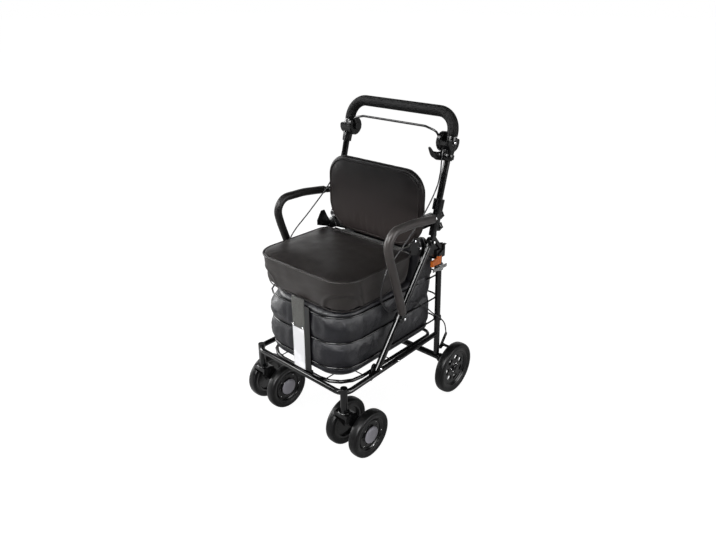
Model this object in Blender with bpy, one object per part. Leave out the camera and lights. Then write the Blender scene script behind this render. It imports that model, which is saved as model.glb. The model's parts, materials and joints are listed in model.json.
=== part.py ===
# Shopping rollator with a wire basket, a bag, a padded lid seat and a push handle.
# Metres, +Z up. The casters point to -Y, the push handle is towards +Y, X is sideways.
# The origin is the middle of the footprint on the floor.
import math

import bmesh
import bpy
from mathutils import Matrix, Vector

# Fits
SEAT_GAP = 0.0003
RUN_GAP = 0.0003
SMOOTH_ANGLE = math.radians(40)

# Rear wheels and their axle
REAR_WHEEL_RADIUS = 0.0875
REAR_TYRE_WIDTH = 0.031
REAR_TRACK_HALF = 0.218
REAR_WHEEL_Y = 0.2106
REAR_STUB_RADIUS = 0.006
AXLE_TUBE_RADIUS = 0.0105
AXLE_TUBE_Y = 0.166
AXLE_TUBE_Z = 0.136
DROPOUT_THICKNESS = 0.006
DROPOUT_INNER_X = 0.189

# Casters
CASTER_WHEEL_RADIUS = 0.0736
CASTER_TYRE_WIDTH = 0.030
CASTER_WHEEL_OFFSET = 0.045
CASTER_TRAIL = 0.054
CASTER_AXLE_RADIUS = 0.004
CASTER_STEM_RADIUS = 0.0055
CASTER_SOCKET_RADIUS = 0.0105
CASTER_SOCKET_BOTTOM = 0.160
CASTER_SOCKET_TOP = 0.236
CAP_RADIUS = 0.023
CASTER_STEPS = 21
REAR_STEPS = 24

# Base rail
RAIL_RADIUS = 0.0082
RAIL_FRONT_Y = -0.288
RAIL_FRONT_Z = 0.222
RAIL_FRONT_X = 0.187
RAIL_REAR_X = 0.178
RAIL_REAR_Z = 0.224
RAIL_CORNER = 0.033

# Rear legs
LEG_RADIUS = 0.0095
LEG_X = 0.178
LEG_TOP_Y = 0.148
LEG_TOP_Z = 0.500

# Side struts and the fold hinge above them
STRUT_RADIUS = 0.010
STRUT_X = 0.195
STRUT_FOOT_Y = -0.158
STRUT_FOOT_Z = 0.245
FOLD_Y = 0.077
FOLD_Z = 0.573
KNUCKLE_RADIUS = 0.0125
KNUCKLE_HALF = 0.0095
TUBE_END_BACK = 0.019
TAIL_END_Y = 0.1570
BLOCK_FRONT_Y = 0.118
BLOCK_BACK_Y = 0.1615
BLOCK_HALF_X = 0.012
BLOCK_TOP = 0.030
GUSSET_X = 0.1872

# Latch over the tail of the right handle tube
LATCH_PIVOT_Y = 0.1275
LATCH_PIVOT_Z = 0.509
LATCH_THICKNESS = 0.004
CATCH_Z = 0.466

# Push handle, drawn on the leaning tube axis that starts at the fold hinge
HANDLE_LEAN = 0.256
OUTER_TUBE_RADIUS = 0.011
OUTER_TUBE_BORE = 0.0098
OUTER_TUBE_TOP_Z = 0.695
OUTER_TUBE_FLOOR = 0.006
OUTER_TUBE_SIDES = 16
INNER_TUBE_RADIUS = 0.0095
INNER_TUBE_END_Z = 0.655
HANDLE_TOP_Z = 0.930
HANDLE_CORNER = 0.055
GRIP_RADIUS = 0.016
GRIP_END_Z = HANDLE_TOP_Z - 0.062
HANDLE_SIDES = 10
KNOB_Z = 0.617
KNOB_SEAT = 0.0200
KNOB_RADIUS = 0.0118
NUT_Z = 0.650
CLAMP_HEIGHT = 0.030
CLAMP_SIDES = 14

# Brake
DRUM_RADIUS = 0.0285
DRUM_Z = GRIP_END_Z - 0.016
DRUM_INNER_X = 0.163
DRUM_OUTER_X = 0.1785
DRUM_WRAP_X = 0.2088
DRUM_SIDES = 16
SLEEVE_RADIUS = 0.0135
SLEEVE_BOTTOM_Z = DRUM_Z - 0.047
SLEEVE_TOP_Z = DRUM_Z + 0.012
HOOK_Z = SLEEVE_BOTTOM_Z + 0.0015
HOOK_HEIGHT = 0.012
HOOK_ARM_RADIUS = 0.0042
HOOK_REACH = 0.067
HOOK_RISE = 0.034
BRAKE_BAR_RADIUS = 0.0026
CABLE_RADIUS = 0.0023
CABLE_BAND_Z = 0.2825
CABLE_BAND_WALL = 0.003
CABLE_HIGH_X = 0.194
CABLE_ROUTE = ((0.1920, 0.094, 0.728), (0.1935, 0.040, 0.668), (0.1940, -0.040, 0.606),
               (0.1940, -0.110, 0.556), (0.1940, -0.140, 0.510), (0.1940, -0.143, 0.462),
               (0.1940, -0.118, 0.424), (0.1900, -0.088, 0.405), (0.1785, -0.040, 0.398),
               (0.1775, 0.020, 0.388), (0.1775, 0.080, 0.355), (0.1840, 0.126, 0.312))
BRAKE_LEVER_Y = 0.028
BRAKE_LEVER_Z = 0.038
BRAKE_BAR_DROP = 0.040
BRAKE_BAR_FORWARD = 0.039

# Armrests
ARM_X = 0.2180
ARM_TUBE_RADIUS = 0.0092
ARM_FOAM_RADIUS = 0.0122
ARM_END_X = 0.2105
ARM_END_HALF = 0.003
ARM_END_REACH = 0.008
ARM_FLAT_LENGTH = 0.017
ARM_ROUND_START = 0.023
ARM_OUT_LENGTH = 0.055
ARM_PIVOT_Y = 0.067
ARM_PIVOT_Z = 0.651
ARM_TOP_Z = 0.665
ARM_FRONT_Y = -0.160
ARM_FOOT_Z = 0.379
ARM_BEND = 0.042
ARM_SIDES = 9

# Wire basket
WIRE_RADIUS = 0.0028
RING_HALF_X = 0.1652
RING_FRONT_Y = -0.277
RING_BACK_Y = 0.183
RING_CORNER = 0.086
RING_BACK_CORNER = 0.030
RING_STEPS = 4
RING_HEIGHTS = (0.270, 0.350, 0.430)
RIM_RADIUS = 0.0055
RIM_Z = 0.2235
RIM_HALF_X = 0.1638
RIM_FRONT_Y = -0.2740
RIM_BACK_Y = 0.152
FLOOR_WIRE_RADIUS = 0.0018
POST_X = 0.0405
POST_WIDTH = 0.020
POST_THICKNESS = 0.003
STRAP_X = 0.0045
STRAP_WIDTH = 0.051
STRAP_TOP_Z = 0.460
LABEL_LOW_Z = 0.232
LABEL_HIGH_Z = 0.364
STRAP_THICKNESS = 0.0014

# Bag
BAG_WALL = 0.0022
BAG_PUFF = 0.005
BAG_BACK_Y = 0.150
BAG_BACK_CORNER = 0.042
BAG_RISE = 0.066
BAG_RISE_START_Y = 0.008
BAG_RISE_END_Y = 0.107

# Seat
SEAT_HALF_X = 0.1835
SEAT_FRONT_Y = -0.284
SEAT_BACK_Y = 0.022
SEAT_CORNER = 0.072
SEAT_BACK_CORNER = 0.030
SEAT_BOTTOM_Z = 0.464
SEAT_PIPING_Z = 0.5445
SEAT_CROWN_Z = 0.559
BOARD_INSET = 0.016
PIPING_INSET = 0.0012
FLAP_HALF_THICKNESS = 0.0012
FLAP_HALF_X = 0.145
CROSS_BAR_Y = 0.0615
CROSS_BAR_Z = 0.5235
CROSS_BAR_RADIUS = 0.006

# Backrest
BACK_HALF_X = 0.1775
BACK_BOTTOM_Z = 0.553
BACK_TOP_Z = HANDLE_TOP_Z - 0.154
BACK_HEIGHT = BACK_TOP_Z - BACK_BOTTOM_Z
BACK_LOW_CORNER = BACK_HEIGHT * 0.3677
BACK_TOP_CORNER = BACK_HEIGHT * 0.278
BACK_Y = 0.050
BACK_TAB_HEIGHTS = (BACK_BOTTOM_Z + BACK_HEIGHT * 0.30, BACK_BOTTOM_Z + BACK_HEIGHT * 0.42)
BACK_TUBE_RADIUS = 0.006
PAD_HALF_THICKNESS = 0.013
PAD_CROWN = 0.009
PAD_CROWN_INSET = BACK_HEIGHT * 0.3318

# Widely used directions
AXIS_X = Vector((1.0, 0.0, 0.0))
AXIS_Y = Vector((0.0, 1.0, 0.0))
AXIS_Z = Vector((0.0, 0.0, 1.0))


def clear_scene():
    for item in list(bpy.data.objects):
        bpy.data.objects.remove(item, do_unlink=True)


def material(name, colour, roughness, metallic=0.0):
    found = bpy.data.materials.get(name)
    if found:
        return found
    made = bpy.data.materials.new(name)
    made.use_nodes = True
    shader = made.node_tree.nodes["Principled BSDF"]
    shader.inputs["Base Color"].default_value = (*colour, 1.0)
    shader.inputs["Roughness"].default_value = roughness
    shader.inputs["Metallic"].default_value = metallic
    made.diffuse_color = (*colour, 1.0)
    return made


MATERIALS = {
    "black_steel": ((0.018, 0.018, 0.020), 0.22, 0.6),
    "grey_steel": ((0.33, 0.33, 0.34), 0.40, 0.8),
    "tyre_rubber": ((0.055, 0.055, 0.056), 0.70, 0.0),
    "black_plastic": ((0.022, 0.022, 0.024), 0.38, 0.0),
    "cap_plastic": ((0.17, 0.17, 0.19), 0.45, 0.0),
    "orange_plastic": ((0.62, 0.13, 0.02), 0.40, 0.0),
    "grip_foam": ((0.016, 0.016, 0.016), 0.90, 0.0),
    "armrest_foam": ((0.040, 0.038, 0.037), 0.80, 0.0),
    "seat_leatherette": ((0.032, 0.029, 0.029), 0.50, 0.0),
    "back_leatherette": ((0.022, 0.020, 0.020), 0.50, 0.0),
    "bag_fabric": ((0.022, 0.022, 0.027), 0.60, 0.0),
    "strap_webbing": ((0.085, 0.085, 0.078), 0.80, 0.0),
    "label_film": ((0.85, 0.85, 0.86), 0.45, 0.0),
    "cable_jacket": ((0.10, 0.10, 0.10), 0.45, 0.0),
}


def add_object(name, mesh, finish):
    item = bpy.data.objects.new(name, mesh)
    bpy.context.scene.collection.objects.link(item)
    colour, roughness, metallic = MATERIALS[finish]
    mesh.materials.clear()
    mesh.materials.append(material(finish, colour, roughness, metallic))
    return item


def object_from_rings(name, finish, rings, closed=False, cap=True):
    # Skins a list of point rings of equal length into one closed body.
    shape = bmesh.new()
    rows = [[shape.verts.new(point) for point in ring] for ring in rings]
    count = len(rows[0])
    spans = len(rows) if closed else len(rows) - 1
    for index in range(spans):
        low = rows[index]
        high = rows[(index + 1) % len(rows)]
        for step in range(count):
            after = (step + 1) % count
            shape.faces.new((low[step], low[after], high[after], high[step]))
    if cap and not closed:
        shape.faces.new(list(reversed(rows[0])))
        shape.faces.new(rows[-1])
    bmesh.ops.recalc_face_normals(shape, faces=shape.faces)
    if shape.calc_volume(signed=True) < 0:
        bmesh.ops.reverse_faces(shape, faces=shape.faces)
    mesh = bpy.data.meshes.new(name)
    shape.to_mesh(mesh)
    shape.free()
    return add_object(name, mesh, finish)


def circle(radius, sides, turn=0.0):
    return [(radius * math.cos(turn + 2 * math.pi * i / sides),
             radius * math.sin(turn + 2 * math.pi * i / sides)) for i in range(sides)]


def frames_along(points, closed, up):
    # Steady cross-section frames along a path, without twist against the up vector.
    frames = []
    total = len(points)
    for index, point in enumerate(points):
        if closed:
            before = points[index - 1]
            after = points[(index + 1) % total]
        else:
            before = points[max(index - 1, 0)]
            after = points[min(index + 1, total - 1)]
        ahead = (after - before).normalized()
        side = ahead.cross(up)
        if side.length < 1e-4:
            side = ahead.cross(AXIS_X)
        side.normalize()
        frames.append((point, side, side.cross(ahead).normalized()))
    return frames


def sweep(name, finish, points, section, closed=False, up=AXIS_Z):
    points = [Vector(p) for p in points]
    rings = []
    for point, side, top in frames_along(points, closed, up):
        rings.append([point + side * a + top * b for a, b in section])
    return object_from_rings(name, finish, rings, closed=closed)


def hollow_sweep(name, finish, points, radius, bore, sides, up):
    # A tube wall along a path, open at both ends.
    shape = bmesh.new()
    outer = []
    inner = []
    for point, side, top in frames_along(points, False, up):
        outer.append([shape.verts.new(point + side * a + top * b) for a, b in circle(radius, sides)])
        inner.append([shape.verts.new(point + side * a + top * b) for a, b in circle(bore, sides)])
    for step in range(sides):
        after = (step + 1) % sides
        for index in range(len(points) - 1):
            low, high = outer[index], outer[index + 1]
            shape.faces.new((low[step], low[after], high[after], high[step]))
            low, high = inner[index], inner[index + 1]
            shape.faces.new((low[after], low[step], high[step], high[after]))
        shape.faces.new((outer[0][after], outer[0][step], inner[0][step], inner[0][after]))
        shape.faces.new((outer[-1][step], outer[-1][after], inner[-1][after], inner[-1][step]))
    bmesh.ops.recalc_face_normals(shape, faces=shape.faces)
    if shape.calc_volume(signed=True) < 0:
        bmesh.ops.reverse_faces(shape, faces=shape.faces)
    mesh = bpy.data.meshes.new(name)
    shape.to_mesh(mesh)
    shape.free()
    return add_object(name, mesh, finish)


def rod(name, finish, start, end, radius, sides=12):
    start = Vector(start)
    end = Vector(end)
    up = AXIS_Z if abs((end - start).normalized().z) < 0.9 else AXIS_Y
    return sweep(name, finish, [start, end], circle(radius, sides, math.pi / sides), up=up)


def lathe(name, finish, profile, centre, axis, steps, turn=0.0):
    # Revolves a closed profile of (radius, height) pairs around an axis.
    centre = Vector(centre)
    axis = axis.normalized()
    side = axis.orthogonal().normalized()
    other = axis.cross(side).normalized()
    rings = []
    for index in range(steps):
        angle = turn + 2 * math.pi * index / steps
        out = side * math.cos(angle) + other * math.sin(angle)
        rings.append([centre + out * radius + axis * height for radius, height in profile])
    return object_from_rings(name, finish, rings, closed=True)


def disc(name, finish, centre, axis, radius, half, sides=20, bevel=0.0):
    # A round block across an axis, with an optional bevel on both rims.
    axis = axis.normalized()
    centre = Vector(centre)
    side = axis.orthogonal().normalized()
    other = axis.cross(side).normalized()
    steps = [(-half, radius - bevel), (-half + bevel, radius), (half - bevel, radius), (half, radius - bevel)]
    if bevel == 0.0:
        steps = [(-half, radius), (half, radius)]
    rings = []
    for height, size in steps:
        rings.append([centre + axis * height + side * a + other * b for a, b in circle(size, sides)])
    return object_from_rings(name, finish, rings)


def box(name, finish, low, high):
    (x0, y0, z0), (x1, y1, z1) = low, high
    lower = [Vector(p) for p in ((x0, y0, z0), (x1, y0, z0), (x1, y1, z0), (x0, y1, z0))]
    upper = [Vector(p) for p in ((x0, y0, z1), (x1, y0, z1), (x1, y1, z1), (x0, y1, z1))]
    return object_from_rings(name, finish, [lower, upper])


def plate_x(name, finish, outline, x0, x1):
    # A flat plate across X with an outline of (y, z) points.
    near = [Vector((x0, y, z)) for y, z in outline]
    far = [Vector((x1, y, z)) for y, z in outline]
    return object_from_rings(name, finish, [near, far])


def bar_x(name, finish, start, end, half, x0, x1, round_sides=6):
    # A flat bar across X with round ends, from one (y, z) point to another.
    start = Vector(start)
    end = Vector(end)
    heading = math.atan2(end.y - start.y, end.x - start.x)
    outline = []
    for i in range(round_sides + 1):
        angle = heading + math.pi / 2 + math.pi * i / round_sides
        outline.append((start.x + half * math.cos(angle), start.y + half * math.sin(angle)))
    for i in range(round_sides + 1):
        angle = heading - math.pi / 2 + math.pi * i / round_sides
        outline.append((end.x + half * math.cos(angle), end.y + half * math.sin(angle)))
    return plate_x(name, finish, outline, x0, x1)


def combine(base, others, operation="UNION"):
    # Joins or cuts with exact booleans, then removes the helper objects.
    for other in others:
        step = base.modifiers.new("step", "BOOLEAN")
        step.operation = operation
        step.solver = "EXACT"
        step.object = other
        graph = bpy.context.evaluated_depsgraph_get()
        made = bpy.data.meshes.new_from_object(base.evaluated_get(graph))
        base.modifiers.clear()
        base.data = made
        bpy.data.objects.remove(other, do_unlink=True)
    tidy_mesh(base)
    return base


def tidy_mesh(item):
    finish = item.data.materials[0]
    shape = bmesh.new()
    shape.from_mesh(item.data)
    bmesh.ops.remove_doubles(shape, verts=shape.verts, dist=2e-6)
    bmesh.ops.dissolve_degenerate(shape, edges=shape.edges, dist=2e-6)
    shape.to_mesh(item.data)
    shape.free()
    item.data.materials.clear()
    item.data.materials.append(finish)
    for face in item.data.polygons:
        face.material_index = 0


def fillet(points, radii, steps):
    # Rounds the inner corners of an open path, with a step count for each corner.
    points = [Vector(p) for p in points]
    result = [points[0]]
    for index in range(1, len(points) - 1):
        corner = points[index]
        radius = radii[index - 1]
        count = steps[index - 1]
        back = (points[index - 1] - corner).normalized()
        ahead = (points[index + 1] - corner).normalized()
        angle = back.angle(ahead)
        reach = radius / math.tan(angle / 2)
        start = corner + back * reach
        end = corner + ahead * reach
        centre = corner + (back + ahead).normalized() * (radius / math.sin(angle / 2))
        for step in range(count + 1):
            blend = step / count
            sweep_angle = math.pi - angle
            a = math.sin((1 - blend) * sweep_angle) / math.sin(sweep_angle)
            b = math.sin(blend * sweep_angle) / math.sin(sweep_angle)
            result.append(centre + (start - centre) * a + (end - centre) * b)
    result.append(points[-1])
    return result


def plan_loop(half_x, front_y, back_y, front_corner, back_corner, steps=5, side_points=2, front_points=2):
    # A closed plan outline with round corners, symmetric about X = 0.
    loop = []
    corners = ((half_x - front_corner, front_y + front_corner, front_corner, -math.pi / 2),
               (half_x - back_corner, back_y - back_corner, back_corner, 0.0),
               (-half_x + back_corner, back_y - back_corner, back_corner, math.pi / 2),
               (-half_x + front_corner, front_y + front_corner, front_corner, math.pi))
    gaps = (side_points, front_points, side_points, front_points)
    for number, (cx, cy, size, turn) in enumerate(corners):
        for i in range(steps + 1):
            angle = turn + (math.pi / 2) * i / steps
            loop.append((cx + size * math.cos(angle), cy + size * math.sin(angle)))
        nx, ny, nsize, nturn = corners[(number + 1) % 4]
        end = (nx + nsize * math.cos(nturn), ny + nsize * math.sin(nturn))
        start = loop[-1]
        for i in range(1, gaps[number] + 1):
            share = i / (gaps[number] + 1)
            loop.append((start[0] + (end[0] - start[0]) * share, start[1] + (end[1] - start[1]) * share))
    return loop


def lean_y(z):
    # The handle tubes lean back from the fold hinge.
    return FOLD_Y + HANDLE_LEAN * (z - FOLD_Z)


LEAN_AXIS = Vector((0.0, HANDLE_LEAN, 1.0)).normalized()
STRUT_AXIS = Vector((0.0, FOLD_Y - STRUT_FOOT_Y, FOLD_Z - STRUT_FOOT_Z)).normalized()


def leg_y(z):
    share = (LEG_TOP_Z - z) / (LEG_TOP_Z - AXLE_TUBE_Z)
    return LEG_TOP_Y + (AXLE_TUBE_Y - LEG_TOP_Y) * share


def strut_y(z):
    return FOLD_Y + (z - FOLD_Z) * STRUT_AXIS.y / STRUT_AXIS.z


# Base frame


def caster_centre():
    # The socket stands on the middle of the rail's corner bend.
    reach = RAIL_CORNER * (1 - math.sqrt(0.5))
    return RAIL_FRONT_X - reach, RAIL_FRONT_Y + reach


def build_base_rail():
    rear_y = leg_y(RAIL_REAR_Z + RAIL_RADIUS) - LEG_RADIUS - 2 * SEAT_GAP
    corners = [(RAIL_REAR_X, rear_y, RAIL_REAR_Z), (RAIL_FRONT_X, RAIL_FRONT_Y, RAIL_FRONT_Z),
               (-RAIL_FRONT_X, RAIL_FRONT_Y, RAIL_FRONT_Z), (-RAIL_REAR_X, rear_y, RAIL_REAR_Z)]
    path = fillet(corners, [RAIL_CORNER, RAIL_CORNER], [5, 5])
    rail = sweep("base_rail", "black_steel", path, circle(RAIL_RADIUS, 10, math.pi / 10))
    extras = []
    bores = []
    socket_x, socket_y = caster_centre()
    for side in (-1, 1):
        x = side * socket_x
        extras.append(rod("part", "black_steel", (x, socket_y, CASTER_SOCKET_BOTTOM),
                          (x, socket_y, CASTER_SOCKET_TOP), CASTER_SOCKET_RADIUS, 12))
        bores.append(rod("bore", "black_steel", (x, socket_y, CASTER_SOCKET_BOTTOM - 0.01),
                         (x, socket_y, CASTER_SOCKET_TOP - 0.012), CASTER_STEM_RADIUS + RUN_GAP, 12))
        inner = STRUT_X - STRUT_RADIUS - SEAT_GAP
        foot = bar_x("part", "black_steel", (STRUT_FOOT_Y - 0.012, RAIL_FRONT_Z - 0.004),
                     (STRUT_FOOT_Y + 0.002, STRUT_FOOT_Z + 0.004), 0.0095,
                     side * (inner - 0.006), side * inner)
        extras.append(foot)
        tab_x = 0.060 * side
        tab_back = RIM_FRONT_Y - RIM_RADIUS - SEAT_GAP
        extras.append(box("part", "black_steel", (tab_x - 0.006, RAIL_FRONT_Y, RIM_Z - 0.0015),
                          (tab_x + 0.006, tab_back, RIM_Z + 0.0015)))
    combine(rail, extras)
    combine(rail, bores, "DIFFERENCE")
    return rail


def build_rear_axle():
    inner = DROPOUT_INNER_X
    tube = rod("rear_axle", "black_steel", (-inner - 0.003, AXLE_TUBE_Y, AXLE_TUBE_Z),
               (inner + 0.003, AXLE_TUBE_Y, AXLE_TUBE_Z), AXLE_TUBE_RADIUS, 14)
    extras = []
    for side in (-1, 1):
        extras.append(bar_x("part", "black_steel", (AXLE_TUBE_Y, AXLE_TUBE_Z),
                            (REAR_WHEEL_Y, REAR_WHEEL_RADIUS), 0.014,
                            side * inner, side * (inner + DROPOUT_THICKNESS)))
        extras.append(rod("part", "black_steel", (side * (inner + 0.002), REAR_WHEEL_Y, REAR_WHEEL_RADIUS),
                          (side * (REAR_TRACK_HALF + REAR_TYRE_WIDTH / 2), REAR_WHEEL_Y, REAR_WHEEL_RADIUS),
                          REAR_STUB_RADIUS, 14))
    return combine(tube, extras)


def build_leg(side, name):
    foot_z = AXLE_TUBE_Z + AXLE_TUBE_RADIUS + SEAT_GAP
    leg = rod(name, "black_steel", (side * LEG_X, leg_y(foot_z), foot_z),
              (side * LEG_X, LEG_TOP_Y, LEG_TOP_Z), LEG_RADIUS, 14)
    pivot_y, pivot_z = brake_pivot()
    pin = rod("part", "black_steel", (side * LEG_X, pivot_y, pivot_z),
              (side * (LEG_X + LEG_RADIUS + 0.011), pivot_y, pivot_z), 0.004, 12)
    # A guide band for the brake cable.
    middle = Vector((side * LEG_X, leg_y(CABLE_BAND_Z), CABLE_BAND_Z))
    along = Vector((0, LEG_TOP_Y - AXLE_TUBE_Y, LEG_TOP_Z - AXLE_TUBE_Z)).normalized() * 0.007
    band = rod("part", "black_steel", middle - along, middle + along, LEG_RADIUS + CABLE_BAND_WALL, 14)
    return combine(leg, [pin, band])


def strut_point(distance):
    # A point on the strut axis, measured down from the fold hinge.
    return FOLD_Y - STRUT_AXIS.y * distance, FOLD_Z - STRUT_AXIS.z * distance


def build_strut(side, name):
    x = side * STRUT_X
    top_y, top_z = strut_point(TUBE_END_BACK)
    strut = rod(name, "black_steel", (x, STRUT_FOOT_Y, STRUT_FOOT_Z), (x, top_y, top_z), STRUT_RADIUS, 14)
    # The inner half of the hinge knuckle and its tongue.
    inner = side * (STRUT_X - KNUCKLE_HALF)
    middle = side * (STRUT_X - SEAT_GAP)
    knuckle = disc("part", "black_steel", ((inner + middle) / 2, FOLD_Y, FOLD_Z), AXIS_X,
                   KNUCKLE_RADIUS, abs(middle - inner) / 2, 14)
    tongue_y, tongue_z = strut_point(TUBE_END_BACK + 0.006)
    tongue = bar_x("part", "black_steel", (FOLD_Y, FOLD_Z), (tongue_y, tongue_z), 0.008, inner, middle, 4)
    # A stop band that keeps the sliding collar below it.
    band_y, band_z = strut_point(0.165)
    band_axis = Vector((0, STRUT_AXIS.y, STRUT_AXIS.z)) * 0.003
    middle_point = Vector((x, band_y, band_z))
    band = rod("part", "black_steel", middle_point - band_axis, middle_point + band_axis,
               STRUT_RADIUS + 0.0012, 14)
    # The foot pin ends in a bolt head outside.
    pin = disc("part", "black_steel", (side * (STRUT_X + 0.006), STRUT_FOOT_Y + 0.004, STRUT_FOOT_Z + 0.006),
               AXIS_X, 0.0055, 0.006, 8)
    return combine(strut, [knuckle, tongue, band, pin])


def build_hinge_plate(side, name):
    # Joins the top of the strut to the top of the rear leg.
    leg_tilt = (AXLE_TUBE_Y - LEG_TOP_Y) / (LEG_TOP_Z - AXLE_TUBE_Z)
    block_low = (LEG_X - BLOCK_HALF_X, BLOCK_FRONT_Y, LEG_TOP_Z + LEG_RADIUS * leg_tilt + SEAT_GAP)
    block_high = (LEG_X + BLOCK_HALF_X, BLOCK_BACK_Y, LEG_TOP_Z + BLOCK_TOP)
    if side > 0:
        block = box(name, "black_plastic", block_low, block_high)
    else:
        block = box(name, "black_plastic", (-block_high[0], block_low[1], block_low[2]),
                    (-block_low[0], block_high[1], block_high[2]))
    outer = side * (STRUT_X - STRUT_RADIUS - SEAT_GAP)
    inner = outer - side * 0.004
    near_y, near_z = strut_point(0.036)
    outline = [(near_y - 0.010, near_z - 0.012), (near_y + 0.012, near_z - 0.014), (0.132, LEG_TOP_Z + 0.002),
               (0.132, LEG_TOP_Z + 0.026), (near_y + 0.014, near_z + 0.014), (near_y + 0.002, near_z + 0.012),
               (near_y - 0.016, near_z + 0.0093), (near_y - 0.020, near_z - 0.0017)]
    plate = plate_x("part", "black_plastic", outline, inner, outer)
    # A gusset beside the rear of the seat, held by three bolts.
    face = side * GUSSET_X
    edge = [(-0.014, 0.556), (0.036, 0.5390), (0.0435, 0.5425), (0.049, 0.5500), (0.030, 0.577),
            (0.018, 0.600), (0.004, 0.600), (-0.014, 0.572)]
    gusset = plate_x("part", "black_plastic", edge, outer - side * 0.0006, face)
    parts = [plate, gusset]
    for y, z in ((0.0098, 0.592), (-0.0065, 0.563), (0.0370, 0.556)):
        parts.append(disc("part", "black_plastic", (face + side * 0.0005, y, z), AXIS_X, 0.0042, 0.0018, 8))
    return combine(block, parts)


def build_latch_lever():
    # A rocker on the outer face of the right block. Its finger stands beside the tail of the handle tube.
    inner = LEG_X + BLOCK_HALF_X + RUN_GAP
    outer = inner + LATCH_THICKNESS
    tab = [(0.088, 0.487), (0.136, 0.484), (0.1385, 0.490), (0.1385, 0.5145), (0.1545, 0.5220),
           (0.1545, 0.5460), (0.1475, 0.5460), (0.1475, 0.5270), (0.1225, 0.5150), (0.117, 0.507),
           (0.090, 0.505)]
    lever = plate_x("latch_lever", "orange_plastic", tab, inner, outer)
    rest = box("part", "orange_plastic", (inner, 0.1475, 0.5430), (outer + 0.004, 0.1545, 0.5460))
    thumb = box("part", "orange_plastic", (inner, 0.088, 0.487), (outer + 0.005, 0.096, 0.505))
    boss_at = (outer + 0.001, LATCH_PIVOT_Y, LATCH_PIVOT_Z)
    boss = disc("part", "orange_plastic", boss_at, AXIS_X, 0.0055, 0.002, 12)
    return combine(lever, [rest, thumb, boss])


def build_latch_catch():
    # A steel clip round the right leg with the plate that carries the lever's spring.
    middle = Vector((LEG_X, leg_y(CATCH_Z), CATCH_Z))
    bore = LEG_RADIUS + SEAT_GAP
    profile = [(bore, -0.009), (bore + 0.0045, -0.009), (bore + 0.0045, 0.009), (bore, 0.009)]
    leg_axis = Vector((0, LEG_TOP_Y - AXLE_TUBE_Y, LEG_TOP_Z - AXLE_TUBE_Z)).normalized()
    clip = lathe("latch_catch", "grey_steel", profile, middle, leg_axis, 14)
    plate = box("part", "grey_steel", (LEG_X + bore + 0.001, 0.104, CATCH_Z - 0.004),
                (LEG_X + bore + 0.0035, 0.174, CATCH_Z + 0.006))
    return combine(clip, [plate])


# Basket


def ring_path(half_x, front_y, back_y, front_corner, back_corner, z):
    loop = plan_loop(half_x, front_y, back_y, front_corner, back_corner, RING_STEPS, 1, 1)
    return [Vector((x, y, z)) for x, y in loop]


def build_basket():
    rim = sweep("wire_basket", "black_steel",
                ring_path(RIM_HALF_X, RIM_FRONT_Y, RIM_BACK_Y, RING_CORNER, RING_BACK_CORNER, RIM_Z),
                circle(RIM_RADIUS, 6), closed=True)
    wires = []
    for z in RING_HEIGHTS:
        wires.append(sweep("part", "black_steel",
                           ring_path(RING_HALF_X, RING_FRONT_Y, RING_BACK_Y, RING_CORNER, RING_BACK_CORNER, z),
                           circle(WIRE_RADIUS, 5), closed=True))
    post_front = RING_FRONT_Y - WIRE_RADIUS - POST_THICKNESS + 0.0008
    wires.append(box("part", "black_steel",
                     (POST_X - POST_WIDTH / 2, post_front, RAIL_FRONT_Z + RAIL_RADIUS + SEAT_GAP),
                     (POST_X + POST_WIDTH / 2, post_front + POST_THICKNESS, RING_HEIGHTS[-1] + 0.012)))
    # A foot ties the post to the rim behind the front rail.
    foot_back = RIM_FRONT_Y + 0.002
    foot_z = RAIL_FRONT_Z + RAIL_RADIUS + 0.001
    wires.append(box("part", "black_steel", (POST_X - 0.009, post_front + 0.0005, foot_z),
                     (POST_X + 0.009, foot_back, foot_z + 0.003)))
    wires.append(box("part", "black_steel", (POST_X - 0.009, RING_FRONT_Y - 0.001, RIM_Z),
                     (POST_X + 0.009, foot_back, foot_z + 0.003)))
    rear = RIM_BACK_Y
    for x in (-0.095, 0.0, 0.095):
        wires.append(rod("part", "black_steel", (x, RIM_FRONT_Y + 0.001, RIM_Z),
                         (x, rear - 0.001, RIM_Z), FLOOR_WIRE_RADIUS, 5))
    for share in (0.22, 0.5, 0.78):
        y = RIM_FRONT_Y + (rear - RIM_FRONT_Y) * share
        wires.append(rod("part", "black_steel", (-RIM_HALF_X + 0.001, y, RIM_Z),
                         (RIM_HALF_X - 0.001, y, RIM_Z), FLOOR_WIRE_RADIUS, 5))
    return combine(rim, wires)


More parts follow.
